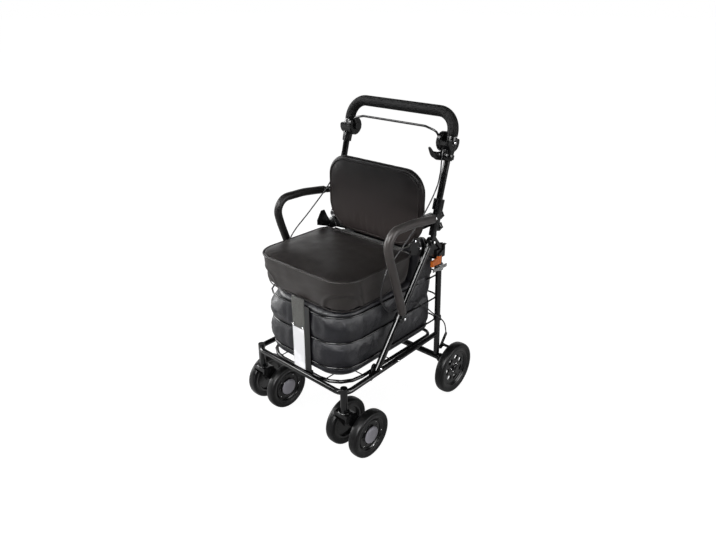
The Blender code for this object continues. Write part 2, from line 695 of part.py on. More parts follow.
def build_bag():
    # The cloth puffs out between the wire rings and is drawn in behind each of them.
    rings_z = RING_HEIGHTS
    floor_z = RIM_Z + RIM_RADIUS + 0.0008
    waist = WIRE_RADIUS + SEAT_GAP
    top_z = rings_z[-1] + WIRE_RADIUS + 0.0002
    levels = [(floor_z, waist + 0.022), (floor_z + 0.004, waist + 0.006)]
    before = floor_z
    for z in rings_z:
        middle = (before + z) / 2
        levels.append((middle, waist - BAG_PUFF))
        levels.append((z - WIRE_RADIUS * 1.6, waist + 0.0006))
        levels.append((z + WIRE_RADIUS * 1.6, waist + 0.0006))
        before = z
    levels[-1] = (top_z, waist + 0.0006)

    def outline(z, inset, rise=0.0):
        puff = max(0.0, waist - inset)
        half = RING_HALF_X - waist + puff
        front = RING_FRONT_Y + waist
        back = BAG_BACK_Y
        if inset > waist:
            half = RING_HALF_X - inset
            front = RING_FRONT_Y + inset
            back = BAG_BACK_Y - (inset - waist)
        corner = RING_CORNER - 0.004
        loop = plan_loop(half, front, back, corner, BAG_BACK_CORNER, RING_STEPS, 2, 1)
        span = BAG_RISE_END_Y - BAG_RISE_START_Y
        shares = [min(max((y - BAG_RISE_START_Y) / span, 0.0), 1.0) for x, y in loop]
        return [Vector((x, y, z + rise * share)) for (x, y), share in zip(loop, shares)]

    rings = [outline(z, inset) for z, inset in levels[:-1]]
    rings.append(outline(top_z, waist + 0.0006, BAG_RISE))
    inner = [outline(top_z, waist + 0.0006 + BAG_WALL, BAG_RISE)]
    inner.append(outline(rings_z[0], waist + 0.0006 + BAG_WALL))
    inner.append(outline(floor_z + BAG_WALL, waist + 0.024))
    return object_from_rings("bag", "bag_fabric", rings + inner)


def build_strap():
    back = RING_FRONT_Y - WIRE_RADIUS - SEAT_GAP
    low = RAIL_FRONT_Z + RAIL_RADIUS + SEAT_GAP
    return box("front_strap", "strap_webbing", (STRAP_X - STRAP_WIDTH / 2, back - STRAP_THICKNESS, low),
               (STRAP_X + STRAP_WIDTH / 2, back, STRAP_TOP_Z))


def build_label():
    back = RING_FRONT_Y - WIRE_RADIUS - SEAT_GAP - STRAP_THICKNESS - SEAT_GAP
    return box("label_patch", "label_film", (STRAP_X - STRAP_WIDTH / 2 + 0.002, back - 0.0006, LABEL_LOW_Z),
               (STRAP_X + STRAP_WIDTH / 2 - 0.002, back, LABEL_HIGH_Z))


# Seat


def seat_outline(inset, z):
    loop = plan_loop(SEAT_HALF_X - inset, SEAT_FRONT_Y + inset, SEAT_BACK_Y - inset,
                     max(SEAT_CORNER - inset, 0.01), max(SEAT_BACK_CORNER - inset * 0.5, 0.008), 4, 2, 3)
    return [Vector((x, y, z)) for x, y in loop]


def build_seat_cushion():
    # Each level is an inset from the widest outline and a height.
    levels = [(0.019, SEAT_BOTTOM_Z), (0.0145, SEAT_BOTTOM_Z + 0.0025), (0.0095, SEAT_BOTTOM_Z + 0.020),
              (0.0052, SEAT_BOTTOM_Z + 0.042), (0.0036, SEAT_PIPING_Z - 0.014),
              (0.0042, SEAT_PIPING_Z - 0.0045), (PIPING_INSET, SEAT_PIPING_Z - 0.002),
              (PIPING_INSET, SEAT_PIPING_Z + 0.002), (0.0046, SEAT_PIPING_Z + 0.0040),
              (0.020, SEAT_PIPING_Z + 0.0082), (0.050, SEAT_CROWN_Z - 0.0028), (0.095, SEAT_CROWN_Z)]
    rings = [seat_outline(inset, z) for inset, z in levels]
    return object_from_rings("seat_cushion", "seat_leatherette", rings)


def build_seat_board():
    # The lid's carrier tray rests on the top wire ring.
    low = RING_HEIGHTS[-1] + WIRE_RADIUS + SEAT_GAP
    high = SEAT_BOTTOM_Z - SEAT_GAP
    rings = [seat_outline(BOARD_INSET + 0.003, low), seat_outline(BOARD_INSET, low + 0.003),
             seat_outline(BOARD_INSET, high)]
    return object_from_rings("seat_board", "bag_fabric", rings)


def build_seat_flap():
    # The cloth hinge between the seat's rear top edge and the cross bar.
    start = Vector((0, SEAT_BACK_Y - PIPING_INSET + 0.0004 + SEAT_GAP, SEAT_PIPING_Z + 0.0008))
    bar_top = CROSS_BAR_Z + CROSS_BAR_RADIUS + SEAT_GAP
    end = Vector((0, CROSS_BAR_Y + 0.002, bar_top + FLAP_HALF_THICKNESS))
    ahead = (end - start).normalized()
    normal = AXIS_X.cross(ahead).normalized()
    if normal.z < 0:
        normal = -normal
    thick = normal * FLAP_HALF_THICKNESS
    outline = [start + thick, end + thick, end - thick, start - thick]
    near = [Vector((-FLAP_HALF_X, p.y, p.z)) for p in outline]
    far = [Vector((FLAP_HALF_X, p.y, p.z)) for p in outline]
    return object_from_rings("seat_flap", "strap_webbing", [near, far])


def build_cross_bar():
    outer = STRUT_X - STRUT_RADIUS - 2 * SEAT_GAP - 0.004
    return rod("seat_cross_bar", "black_steel",
               (-outer, CROSS_BAR_Y, CROSS_BAR_Z), (outer, CROSS_BAR_Y, CROSS_BAR_Z),
               CROSS_BAR_RADIUS, 10)


# Casters and wheels


def build_caster_fork(side, name):
    x, y = caster_centre()
    x *= side
    axle_y = y + CASTER_TRAIL
    axle_z = CASTER_WHEEL_RADIUS
    top = CASTER_SOCKET_BOTTOM - RUN_GAP
    body = disc(name, "black_plastic", (x, y, top - 0.005), AXIS_Z, 0.0175, 0.005, 14, 0.0015)
    cheek_x = CASTER_WHEEL_OFFSET - CASTER_TYRE_WIDTH / 2 - 0.006
    stem_top = (x, y, CASTER_SOCKET_TOP - 0.016)
    parts = [rod("part", "black_plastic", (x, y, top - 0.004), stem_top, CASTER_STEM_RADIUS, 12)]
    crown = [(y - 0.015, top - 0.002), (y - 0.017, top - 0.014), (y + 0.004, top - 0.038),
             (y + 0.030, top - 0.026), (y + 0.024, top - 0.008), (y + 0.012, top - 0.002)]
    parts.append(plate_x("part", "black_plastic", crown, x - cheek_x + 0.001, x + cheek_x - 0.001))
    for hand in (-1, 1):
        inner = x + hand * (cheek_x - 0.004)
        outer = x + hand * cheek_x
        cheek = [(y - 0.015, top - 0.004), (y - 0.018, top - 0.020), (axle_y - 0.012, axle_z - 0.004),
                 (axle_y - 0.006, axle_z - 0.012), (axle_y + 0.007, axle_z - 0.012), (axle_y + 0.013, axle_z),
                 (axle_y + 0.009, axle_z + 0.012), (y + 0.030, top - 0.020), (y + 0.014, top - 0.004)]
        parts.append(plate_x("part", "black_plastic", cheek, inner, outer))
        boss = (outer + hand * 0.0015, axle_y, axle_z)
        parts.append(disc("part", "black_plastic", boss, AXIS_X, 0.009, 0.0025, 10))
    reach = CASTER_WHEEL_OFFSET + CASTER_TYRE_WIDTH * 0.342 - 0.0005
    axle_ends = ((x - reach, axle_y, axle_z), (x + reach, axle_y, axle_z))
    parts.append(rod("part", "black_plastic", axle_ends[0], axle_ends[1], CASTER_AXLE_RADIUS, 10))
    return combine(body, parts)


def tyre_profile(radius, inner, width):
    half = width / 2
    return [(inner, -half * 0.78), (radius * 0.91, -half), (radius, -half * 0.50),
            (radius, half * 0.50), (radius * 0.91, half), (inner, half * 0.78)]


def wheel_turn(steps):
    # Turns a wheel so that a flat of its tread stands on the floor.
    side = AXIS_X.orthogonal()
    other = AXIS_X.cross(side)
    return math.atan2(-other.z, -side.z) - math.pi / steps


def build_tyre(name, centre, radius, inner, width, steps):
    profile = tyre_profile(radius / math.cos(math.pi / steps), inner, width)
    return lathe(name, "tyre_rubber", profile, centre, AXIS_X, steps, wheel_turn(steps))


def build_hub(name, centre, radius, width, bore, hand, steps):
    # A dished disc with a rim flange and a centre boss.
    half = width / 2
    profile = [(bore, -half * 0.90), (radius * 0.32, -half * 0.35), (radius * 0.86, -half * 0.35),
               (radius * 0.88, -half), (radius, -half), (radius, half), (radius * 0.88, half),
               (radius * 0.86, half * 0.35), (radius * 0.34, half * 0.35), (radius * 0.30, half * 0.90),
               (bore, half * 0.90)]
    profile = [(r, h * hand) for r, h in profile]
    return lathe(name, "black_plastic", profile, centre, AXIS_X, steps, wheel_turn(steps))


def pierce_hub(hub, centre, width, holes, hole_ring, hole_radius):
    cutters = []
    for index in range(holes):
        angle = 2 * math.pi * index / holes + 0.26
        at = Vector(centre) + Vector((0, hole_ring * math.cos(angle), hole_ring * math.sin(angle)))
        cutters.append(disc("bore", "black_plastic", at, AXIS_X, hole_radius, width, 7))
    return combine(hub, cutters, "DIFFERENCE")


def build_caster_wheels(side, label):
    x, y = caster_centre()
    x *= side
    made = {}
    for hand, word in ((-1, "inner"), (1, "outer")):
        # The outer wheel is the one further from the middle of the rollator.
        wheel_x = x + side * hand * CASTER_WHEEL_OFFSET
        centre = (wheel_x, y + CASTER_TRAIL, CASTER_WHEEL_RADIUS)
        outward = side * hand
        inner = CASTER_WHEEL_RADIUS * 0.74
        tyre = build_tyre(f"caster_tyre_{label}_{word}", centre, CASTER_WHEEL_RADIUS, inner,
                          CASTER_TYRE_WIDTH, CASTER_STEPS)
        hub = build_hub(f"caster_hub_{label}_{word}", centre, inner - SEAT_GAP, CASTER_TYRE_WIDTH * 0.76,
                        CASTER_AXLE_RADIUS + RUN_GAP, outward, CASTER_STEPS)
        cap_centre = Vector(centre) + Vector((outward * (CASTER_TYRE_WIDTH * 0.342 + SEAT_GAP), 0, 0))
        cap = build_cap(f"caster_cap_{label}_{word}", cap_centre, outward)
        made[word] = (centre, [tyre, hub, cap])
    return made


def build_cap(name, centre, outward):
    steps = [(0.0, CAP_RADIUS), (0.0036, CAP_RADIUS * 0.96), (0.0065, CAP_RADIUS * 0.66)]
    rings = []
    for height, size in steps:
        x = centre.x + outward * height
        rings.append([Vector((x, centre.y + a, centre.z + b)) for a, b in circle(size, 14)])
    return object_from_rings(name, "cap_plastic", rings)


def build_rear_wheel(side, label):
    centre = (side * REAR_TRACK_HALF, REAR_WHEEL_Y, REAR_WHEEL_RADIUS)
    inner = REAR_WHEEL_RADIUS * 0.77
    tyre = build_tyre(f"rear_tyre_{label}", centre, REAR_WHEEL_RADIUS, inner, REAR_TYRE_WIDTH, REAR_STEPS)
    hub = build_hub(f"rear_hub_{label}", centre, inner - SEAT_GAP, REAR_TYRE_WIDTH * 0.78,
                    REAR_STUB_RADIUS + RUN_GAP, side, REAR_STEPS)
    pierce_hub(hub, centre, REAR_TYRE_WIDTH, 6, 0.040, 0.0105)
    return centre, [tyre, hub]


# Rear brakes


def brake_pivot():
    z = AXLE_TUBE_Z + 0.040
    return leg_y(z), z


def build_brake_arm(side, name):
    y, z = brake_pivot()
    inner = side * (LEG_X + LEG_RADIUS + 0.0035)
    outer = inner + side * 0.004
    arm = bar_x(name, "black_steel", (y, z), (y + BRAKE_LEVER_Y, z + BRAKE_LEVER_Z), 0.0055, inner, outer)
    # The shoe reaches over the tyre just ahead of its top.
    shoe_y = REAR_WHEEL_Y - 0.030
    shoe_r = REAR_WHEEL_RADIUS + 0.008
    shoe_z = REAR_WHEEL_RADIUS + math.sqrt(shoe_r ** 2 - 0.030 ** 2)
    link = bar_x("part", "black_steel", (y, z), (shoe_y, shoe_z), 0.0055, inner, outer, 4)
    shoe = rod("part", "black_steel", (inner, shoe_y, shoe_z),
               (side * REAR_TRACK_HALF, shoe_y, shoe_z), 0.0045, 10)
    combine(arm, [link, shoe])
    bore = disc("bore", "black_steel", (inner, y, z), AXIS_X, 0.004 + RUN_GAP, 0.010, 12)
    return combine(arm, [bore], "DIFFERENCE")


def build_brake_cable(side, name):
    # Runs from the drum down behind the armrest, loops by the seat and ends at the brake arm.
    pivot_y, pivot_z = brake_pivot()
    band_x = LEG_X + LEG_RADIUS + CABLE_BAND_WALL + CABLE_RADIUS + SEAT_GAP
    drum_y = drum_centre(side).y - 0.0195
    points = [(CABLE_HIGH_X - 0.007, drum_y, DRUM_Z - 0.0192),
              (CABLE_HIGH_X - 0.0065, drum_y - 0.0056, DRUM_Z - 0.0305),
              (CABLE_HIGH_X - 0.0055, drum_y - 0.0088, DRUM_Z - 0.042),
              (CABLE_HIGH_X - 0.0045, drum_y - 0.0112, DRUM_Z - 0.053),
              (CABLE_HIGH_X - 0.0025, lean_y(DRUM_Z - 0.081) - 0.0170, DRUM_Z - 0.081)]
    for x, y, z in CABLE_ROUTE:
        points.append((x, y, z))
    points += [(band_x, leg_y(CABLE_BAND_Z), CABLE_BAND_Z), (band_x + 0.0010, 0.180, 0.255),
               (LEG_X + LEG_RADIUS + 0.0055, pivot_y + BRAKE_LEVER_Y,
                pivot_z + BRAKE_LEVER_Z + 0.0055 + SEAT_GAP)]
    smooth = []
    vectors = [Vector((side * x, y, z)) for x, y, z in points]
    for index in range(len(vectors) - 1):
        p0 = vectors[max(index - 1, 0)]
        p1 = vectors[index]
        p2 = vectors[index + 1]
        p3 = vectors[min(index + 2, len(vectors) - 1)]
        for step in range(2):
            t = step / 2
            smooth.append(0.5 * ((2 * p1) + (p2 - p0) * t + (2 * p0 - 5 * p1 + 4 * p2 - p3) * t ** 2
                                 + (3 * p1 - p0 - 3 * p2 + p3) * t ** 3))
    smooth.append(vectors[-1])
    return sweep(name, "cable_jacket", smooth, circle(CABLE_RADIUS, 5), up=AXIS_X)


# Handle


def build_handle_tube(side, name):
    x = side * STRUT_X
    start = Vector((x, FOLD_Y, FOLD_Z)) + LEAN_AXIS * TUBE_END_BACK
    end = Vector((x, lean_y(OUTER_TUBE_TOP_Z), OUTER_TUBE_TOP_Z))
    tube = rod(name, "black_steel", start, end, OUTER_TUBE_RADIUS, OUTER_TUBE_SIDES)
    outer = side * (STRUT_X + KNUCKLE_HALF)
    middle = side * STRUT_X
    knuckle = disc("part", "black_steel", ((outer + middle) / 2, FOLD_Y, FOLD_Z), AXIS_X,
                   KNUCKLE_RADIUS, abs(outer - middle) / 2, 14)
    reach = TUBE_END_BACK + 0.005
    tongue = bar_x("part", "black_steel", (FOLD_Y, FOLD_Z),
                   (FOLD_Y + LEAN_AXIS.y * reach, FOLD_Z + LEAN_AXIS.z * reach), 0.008, middle, outer, 4)
    bolt = disc("part", "black_steel", (outer + side * 0.0012, FOLD_Y, FOLD_Z), AXIS_X, 0.006, 0.002, 8)
    # The tail rests on the block over the rear leg.
    tail_inner = side * (STRUT_X - 0.0085)
    tail_outer = side * (STRUT_X - 0.0050)
    root_y = FOLD_Y + LEAN_AXIS.y * 0.0235 + 0.001
    root_z = FOLD_Z + LEAN_AXIS.z * 0.0235
    rest_z = LEG_TOP_Z + BLOCK_TOP + SEAT_GAP
    outline = [(root_y, root_z - 0.0035), (0.132, rest_z + 0.004), (0.140, rest_z), (TAIL_END_Y, rest_z),
               (TAIL_END_Y, rest_z + 0.0100), (0.138, rest_z + 0.0140), (root_y, root_z + 0.009)]
    tail = plate_x("part", "black_steel", outline, tail_inner, tail_outer)
    # A bracket ahead of the tube carries the armrest's upper pivot.
    arm_face = ARM_END_X - ARM_END_HALF - RUN_GAP
    boss = bar_x("part", "black_steel", (ARM_PIVOT_Y, ARM_PIVOT_Z), (lean_y(ARM_PIVOT_Z), ARM_PIVOT_Z - 0.006),
                 0.0085, side * (arm_face - 0.006), side * arm_face)
    combine(tube, [knuckle, tongue, bolt, tail, boss])
    core = rod("bore", "black_steel", start + LEAN_AXIS * OUTER_TUBE_FLOOR, end + LEAN_AXIS * 0.01,
               OUTER_TUBE_BORE, OUTER_TUBE_SIDES)
    return combine(tube, [core], "DIFFERENCE")


BACK_AXIS = Vector((0.0, LEAN_AXIS.z, -LEAN_AXIS.y))


def star_outline(radius, wave, steps):
    outline = []
    for index in range(steps):
        angle = 2 * math.pi * index / steps
        reach = radius + wave * math.cos(5 * angle)
        outline.append((reach * math.cos(angle), reach * math.sin(angle)))
    return outline


def star(name, start, levels):
    # A five-lobed star about the axis that points back from the handle tubes.
    up = BACK_AXIS.cross(AXIS_X).normalized()
    rings = []
    for height, scale in levels:
        rings.append([start + BACK_AXIS * height + AXIS_X * (a * scale) + up * (b * scale)
                      for a, b in star_outline(KNOB_RADIUS, 0.0020, 15)])
    return object_from_rings(name, "black_plastic", rings)


def back_of_tube(side, z, out):
    return Vector((side * STRUT_X, lean_y(z), z)) + BACK_AXIS * out


def build_clamp(side, name):
    # The height clamp sits round the top of the outer tube.
    # Its spine carries a fixed star nut and the turning knob.
    low_z = OUTER_TUBE_TOP_Z - CLAMP_HEIGHT
    low = back_of_tube(side, low_z, 0.0)
    length = CLAMP_HEIGHT / LEAN_AXIS.z
    bore = OUTER_TUBE_RADIUS + SEAT_GAP
    profile = [(bore, 0.0), (0.0162, 0.0), (0.0162, length), (bore, length)]
    ring = lathe(name, "black_plastic", profile, low, LEAN_AXIS, CLAMP_SIDES)
    half = 0.0025
    section = [(-0.007, -half), (0.007, -half), (0.007, half), (-0.007, half)]
    spine_out = bore + half + SEAT_GAP
    spine_ends = [back_of_tube(side, KNOB_Z - 0.012, spine_out), back_of_tube(side, low_z + 0.006, spine_out)]
    spine = sweep("part", "black_plastic", spine_ends, section, up=AXIS_Y)
    boss = rod("part", "black_plastic", back_of_tube(side, KNOB_Z, bore + 0.001),
               back_of_tube(side, KNOB_Z, KNOB_SEAT), 0.0065, 12)
    nut = star("part", back_of_tube(side, NUT_Z, bore + 0.003), ((0.0, 0.55), (0.004, 0.92), (0.011, 0.92)))
    return combine(ring, [spine, boss, nut])


def knob_centre(side):
    return back_of_tube(side, KNOB_Z, KNOB_SEAT + RUN_GAP)


def build_knob(side, name):
    return star(name, knob_centre(side), ((0.0, 0.80), (0.002, 1.0), (0.009, 1.0), (0.011, 0.82)))


def handle_path(bottom_z):
    top = HANDLE_TOP_Z
    corners = [(STRUT_X, lean_y(bottom_z), bottom_z), (STRUT_X, lean_y(top), top),
               (-STRUT_X, lean_y(top), top), (-STRUT_X, lean_y(bottom_z), bottom_z)]
    return fillet(corners, [HANDLE_CORNER, HANDLE_CORNER], [6, 6])


def build_handle_bar():
    return sweep("handle_bar", "black_steel", handle_path(INNER_TUBE_END_Z),
                 circle(INNER_TUBE_RADIUS, HANDLE_SIDES), up=AXIS_Y)


def build_handle_grip():
    # Foam over the bend of the handle bar.
    path = [Vector(p) for p in handle_path(GRIP_END_Z)]
    return hollow_sweep("handle_grip", "grip_foam", path, GRIP_RADIUS, INNER_TUBE_RADIUS + SEAT_GAP,
                        HANDLE_SIDES, AXIS_Y)


def drum_centre(side):
    return Vector((side * (STRUT_X - 0.002), lean_y(DRUM_Z) - 0.002, DRUM_Z))


def build_brake_housing(side, name):
    # A drum on the inner side and a wrap that carries it round the handle bar, with a sleeve below.
    x = side * STRUT_X
    low = Vector((x, lean_y(SLEEVE_BOTTOM_Z), SLEEVE_BOTTOM_Z))
    high = Vector((x, lean_y(SLEEVE_TOP_Z), SLEEVE_TOP_Z))
    sleeve = rod(name, "black_plastic", low, high, SLEEVE_RADIUS, 14)
    middle = drum_centre(side)
    inner = side * DRUM_INNER_X
    outer = side * DRUM_OUTER_X
    drum = disc("part", "black_plastic", ((inner + outer) / 2, middle.y, middle.z), AXIS_X,
                DRUM_RADIUS, abs(outer - inner) / 2, DRUM_SIDES, 0.003)
    outline = [(middle.y + a, min(middle.z + b, SLEEVE_TOP_Z - 0.0035))
               for a, b in circle(DRUM_RADIUS - 0.003, DRUM_SIDES, math.pi / DRUM_SIDES)]
    wrap = plate_x("part", "black_plastic", outline, outer - side * 0.001, side * DRUM_WRAP_X)
    bolt_place = (side * (DRUM_WRAP_X + 0.001), middle.y, middle.z)
    bolt = disc("part", "black_plastic", bolt_place, AXIS_X, 0.0065, 0.002, 8)
    combine(sleeve, [drum, wrap, bolt])
    core = rod("bore", "black_plastic", low - LEAN_AXIS * 0.01, high + LEAN_AXIS * 0.02,
               INNER_TUBE_RADIUS + SEAT_GAP, 14)
    return combine(sleeve, [core], "DIFFERENCE")


def build_brake_bar():
    centre = drum_centre(1)
    x = DRUM_INNER_X - RUN_GAP
    hub_x = x - 0.0030
    top_y = lean_y(HANDLE_TOP_Z) - BRAKE_BAR_FORWARD
    top_z = HANDLE_TOP_Z - BRAKE_BAR_DROP
    straight_x = DRUM_INNER_X - 0.045
    corners = [(hub_x, centre.y, centre.z), (hub_x - 0.001, top_y + 0.001, top_z - 0.010),
               (straight_x, top_y, top_z), (-straight_x, top_y, top_z),
               (-hub_x + 0.001, top_y + 0.001, top_z - 0.010),
               (-hub_x, centre.y, centre.z)]
    path = fillet(corners, [0.014, 0.040, 0.040, 0.014], [2, 4, 4, 2])
    bar = sweep("brake_bar", "black_steel", path, circle(BRAKE_BAR_RADIUS, 6), up=AXIS_Y)
    hubs = []
    for side in (-1, 1):
        place = (side * hub_x, centre.y, centre.z)
        hubs.append(disc("part", "black_steel", place, AXIS_X, 0.0105, 0.0030, 14))
    return combine(bar, hubs)


def build_bag_hook():
    # A stout hook on a clip round the right sleeve, under the drum.
    low = Vector((STRUT_X, lean_y(HOOK_Z), HOOK_Z))
    bore = SLEEVE_RADIUS + SEAT_GAP
    profile = [(bore, 0.0), (bore + 0.0027, 0.0), (bore + 0.0027, HOOK_HEIGHT), (bore, HOOK_HEIGHT)]
    ring = lathe("bag_hook", "black_plastic", profile, low, LEAN_AXIS, 14)
    y = lean_y(HOOK_Z + HOOK_HEIGHT / 2)
    z = HOOK_Z + HOOK_HEIGHT / 2
    arm_x = STRUT_X - 0.019
    corners = [(STRUT_X - 0.015, y - 0.005, z), (arm_x + 0.0005, y - HOOK_REACH * 0.45, z - 0.006),
               (arm_x, y - HOOK_REACH * 0.75, z + 0.004), (arm_x, y - HOOK_REACH, z + HOOK_RISE)]
    path = fillet(corners, [0.010, 0.018], [2, 4])
    arm = sweep("part", "black_plastic", path, circle(HOOK_ARM_RADIUS, 8), up=AXIS_X)
    combine(ring, [arm])
    core = rod("bore", "black_plastic", low - LEAN_AXIS * 0.02, low + LEAN_AXIS * 0.04, bore, 14)
    return combine(ring, [core], "DIFFERENCE")


# Armrests


def arm_line():
    # The armrest's centre line in the (y, z) plane, from its upper end to its lower end.
    foot_y = strut_y(ARM_FOOT_Z)
    corners = [(0, ARM_PIVOT_Y + ARM_END_REACH, ARM_PIVOT_Z), (0, -0.040, ARM_TOP_Z),
               (0, ARM_FRONT_Y, ARM_TOP_Z + 0.001),
               (0, -0.140, 0.590), (0, -0.108, 0.500), (0, foot_y - 0.003, ARM_FOOT_Z - ARM_END_REACH)]
    return fillet(corners, [0.25, ARM_BEND, 0.20, 0.25], [1, 4, 1, 1])


def point_along(points, distance):
    for index in range(len(points) - 1):
        step = (points[index + 1] - points[index]).length
        if distance <= step:
            return points[index].lerp(points[index + 1], distance / step)
        distance -= step
    return points[-1]


def arm_stations(side, start, end):
    # Points between two distances from the ends. Both ends are pressed flat towards their inner face.
    line = arm_line()
    total = sum((line[i + 1] - line[i]).length for i in range(len(line) - 1))
    distances = [start, ARM_OUT_LENGTH]
    run = 0.0
    for index in range(1, len(line)):
        run += (line[index] - line[index - 1]).length
        if ARM_OUT_LENGTH + 0.004 < run < total - ARM_OUT_LENGTH - 0.004:
            distances.append(run)
    distances += [total - ARM_OUT_LENGTH, total - end]
    if start == 0.0:
        distances[1:1] = [ARM_FLAT_LENGTH, ARM_ROUND_START]
        distances[-1:-1] = [total - ARM_ROUND_START, total - ARM_FLAT_LENGTH]
    stations = []
    for distance in distances:
        near = min(distance, total - distance)
        share = min(max((near - ARM_ROUND_START) / (ARM_OUT_LENGTH - ARM_ROUND_START), 0.0), 1.0)
        point = point_along(line, distance)
        round_x = ARM_END_X - ARM_END_HALF + ARM_TUBE_RADIUS
        out = round_x + (ARM_X - round_x) * share if near >= ARM_ROUND_START - 1e-6 else ARM_END_X
        point.x = side * out
        stations.append((point, near <= ARM_FLAT_LENGTH + 1e-6))
    return stations


def build_arm_tube(side, name):
    # A bent tube, flattened where its two pivots pass through.
    stations = arm_stations(side, 0.0, 0.0)
    rings = []
    frames = frames_along([p for p, f in stations], False, AXIS_X)
    for (point, flat), (place, across, top) in zip(stations, frames):
        wide = 1.12 if flat else 1.0
        deep = ARM_END_HALF / ARM_TUBE_RADIUS if flat else 1.0
        section = circle(ARM_TUBE_RADIUS, ARM_SIDES)
        rings.append([place + across * (a * wide) + top * (b * deep) for a, b in section])
    tube = object_from_rings(name, "black_steel", rings)
    heads = []
    for y, z in ((ARM_PIVOT_Y, ARM_PIVOT_Z), (strut_y(ARM_FOOT_Z), ARM_FOOT_Z)):
        place = (side * (ARM_END_X + ARM_END_HALF), y, z)
        heads.append(disc("part", "black_steel", place, AXIS_X, 0.0058, 0.0022, 8))
    return combine(tube, heads)


def build_arm_foam(side, name):
    stations = arm_stations(side, ARM_ROUND_START + 0.001, ARM_ROUND_START + 0.010)
    return hollow_sweep(name, "armrest_foam", [point for point, flat in stations], ARM_FOAM_RADIUS,
                        ARM_TUBE_RADIUS + SEAT_GAP, ARM_SIDES, AXIS_X)


def build_collar(side, name):
    # Slides on the strut and carries the armrest's lower end on its flat outer side.
    z = ARM_FOOT_Z
    centre = Vector((side * STRUT_X, strut_y(z), z))
    bore = STRUT_RADIUS + RUN_GAP
    profile = [(bore, -0.009), (0.0135, -0.009), (0.0135, 0.009), (bore, 0.009)]
    ring = lathe(name, "black_plastic", profile, centre, STRUT_AXIS, 14)
    flat = side * (ARM_END_X - ARM_END_HALF - RUN_GAP)
    low_x = min(flat, flat + side * 0.02)
    cutter = box("bore", "black_plastic", (low_x, centre.y - 0.03, z - 0.03),
                 (low_x + 0.02, centre.y + 0.03, z + 0.03))
    return combine(ring, [cutter], "DIFFERENCE")


# Backrest


def build_back_frame():
    loop = plan_loop(BACK_HALF_X, BACK_BOTTOM_Z, BACK_TOP_Z, BACK_LOW_CORNER, BACK_TOP_CORNER, 5, 1, 1)
    frame = sweep("backrest_frame", "black_steel", [Vector((x, BACK_Y, z)) for x, z in loop],
                  circle(BACK_TUBE_RADIUS, 8), closed=True, up=AXIS_Y)
    tabs = []
    for side in (-1, 1):
        for z in BACK_TAB_HEIGHTS:
            inner = side * (BACK_HALF_X - BACK_TUBE_RADIUS + 0.0005)
            outer = side * (STRUT_X - OUTER_TUBE_RADIUS - SEAT_GAP)
            tabs.append(box("part", "black_steel", (min(inner, outer), BACK_Y - 0.002, z - 0.005),
                            (max(inner, outer), lean_y(z) + 0.004, z + 0.005)))
    return combine(frame, tabs)


def build_back_pad():
    inset = BACK_TUBE_RADIUS + SEAT_GAP
    half = BACK_HALF_X - inset
    low = BACK_BOTTOM_Z + inset
    high = BACK_TOP_Z - inset
    levels = [(PAD_CROWN_INSET, PAD_HALF_THICKNESS + 0.004), (0.030, PAD_HALF_THICKNESS + 0.002),
              (0.006, PAD_HALF_THICKNESS - 0.002), (0.0, PAD_HALF_THICKNESS - 0.008),
              (0.0, -PAD_HALF_THICKNESS + 0.008), (0.004, -PAD_HALF_THICKNESS + 0.002),
              (0.009, -PAD_HALF_THICKNESS + 0.0005), (0.013, -PAD_HALF_THICKNESS - 0.001),
              (0.040, -PAD_HALF_THICKNESS - PAD_CROWN * 0.66),
              (PAD_CROWN_INSET, -PAD_HALF_THICKNESS - PAD_CROWN)]
    rings = []
    for size, y in levels:
        low_bend = max(BACK_LOW_CORNER - inset - size * 0.55, 0.018)
        top_bend = max(BACK_TOP_CORNER - inset - size * 0.55, 0.018)
        shape = plan_loop(half - size, low + size, high - size, low_bend, top_bend, 5, 1, 2)
        rings.append([Vector((x, BACK_Y + y, z)) for x, z in shape])
    return object_from_rings("backrest_pad", "back_leatherette", rings)


# Assembly


def group(name, origin, items, parent=None):
    # Hangs items on an empty that stands on the body's joint axis.
    holder = bpy.data.objects.new(name, None)
    bpy.context.scene.collection.objects.link(holder)
    origin = Vector(origin)
    base = Vector((0, 0, 0))
    if parent is not None:
        holder.parent = parent
        base = parent["origin"]
        base = Vector((base[0], base[1], base[2]))
    holder.location = origin - base
    holder["origin"] = (origin.x, origin.y, origin.z)
    for item in items:
        item.data.transform(Matrix.Translation(-origin))
        item.parent = holder
        item.location = (0, 0, 0)
    return holder


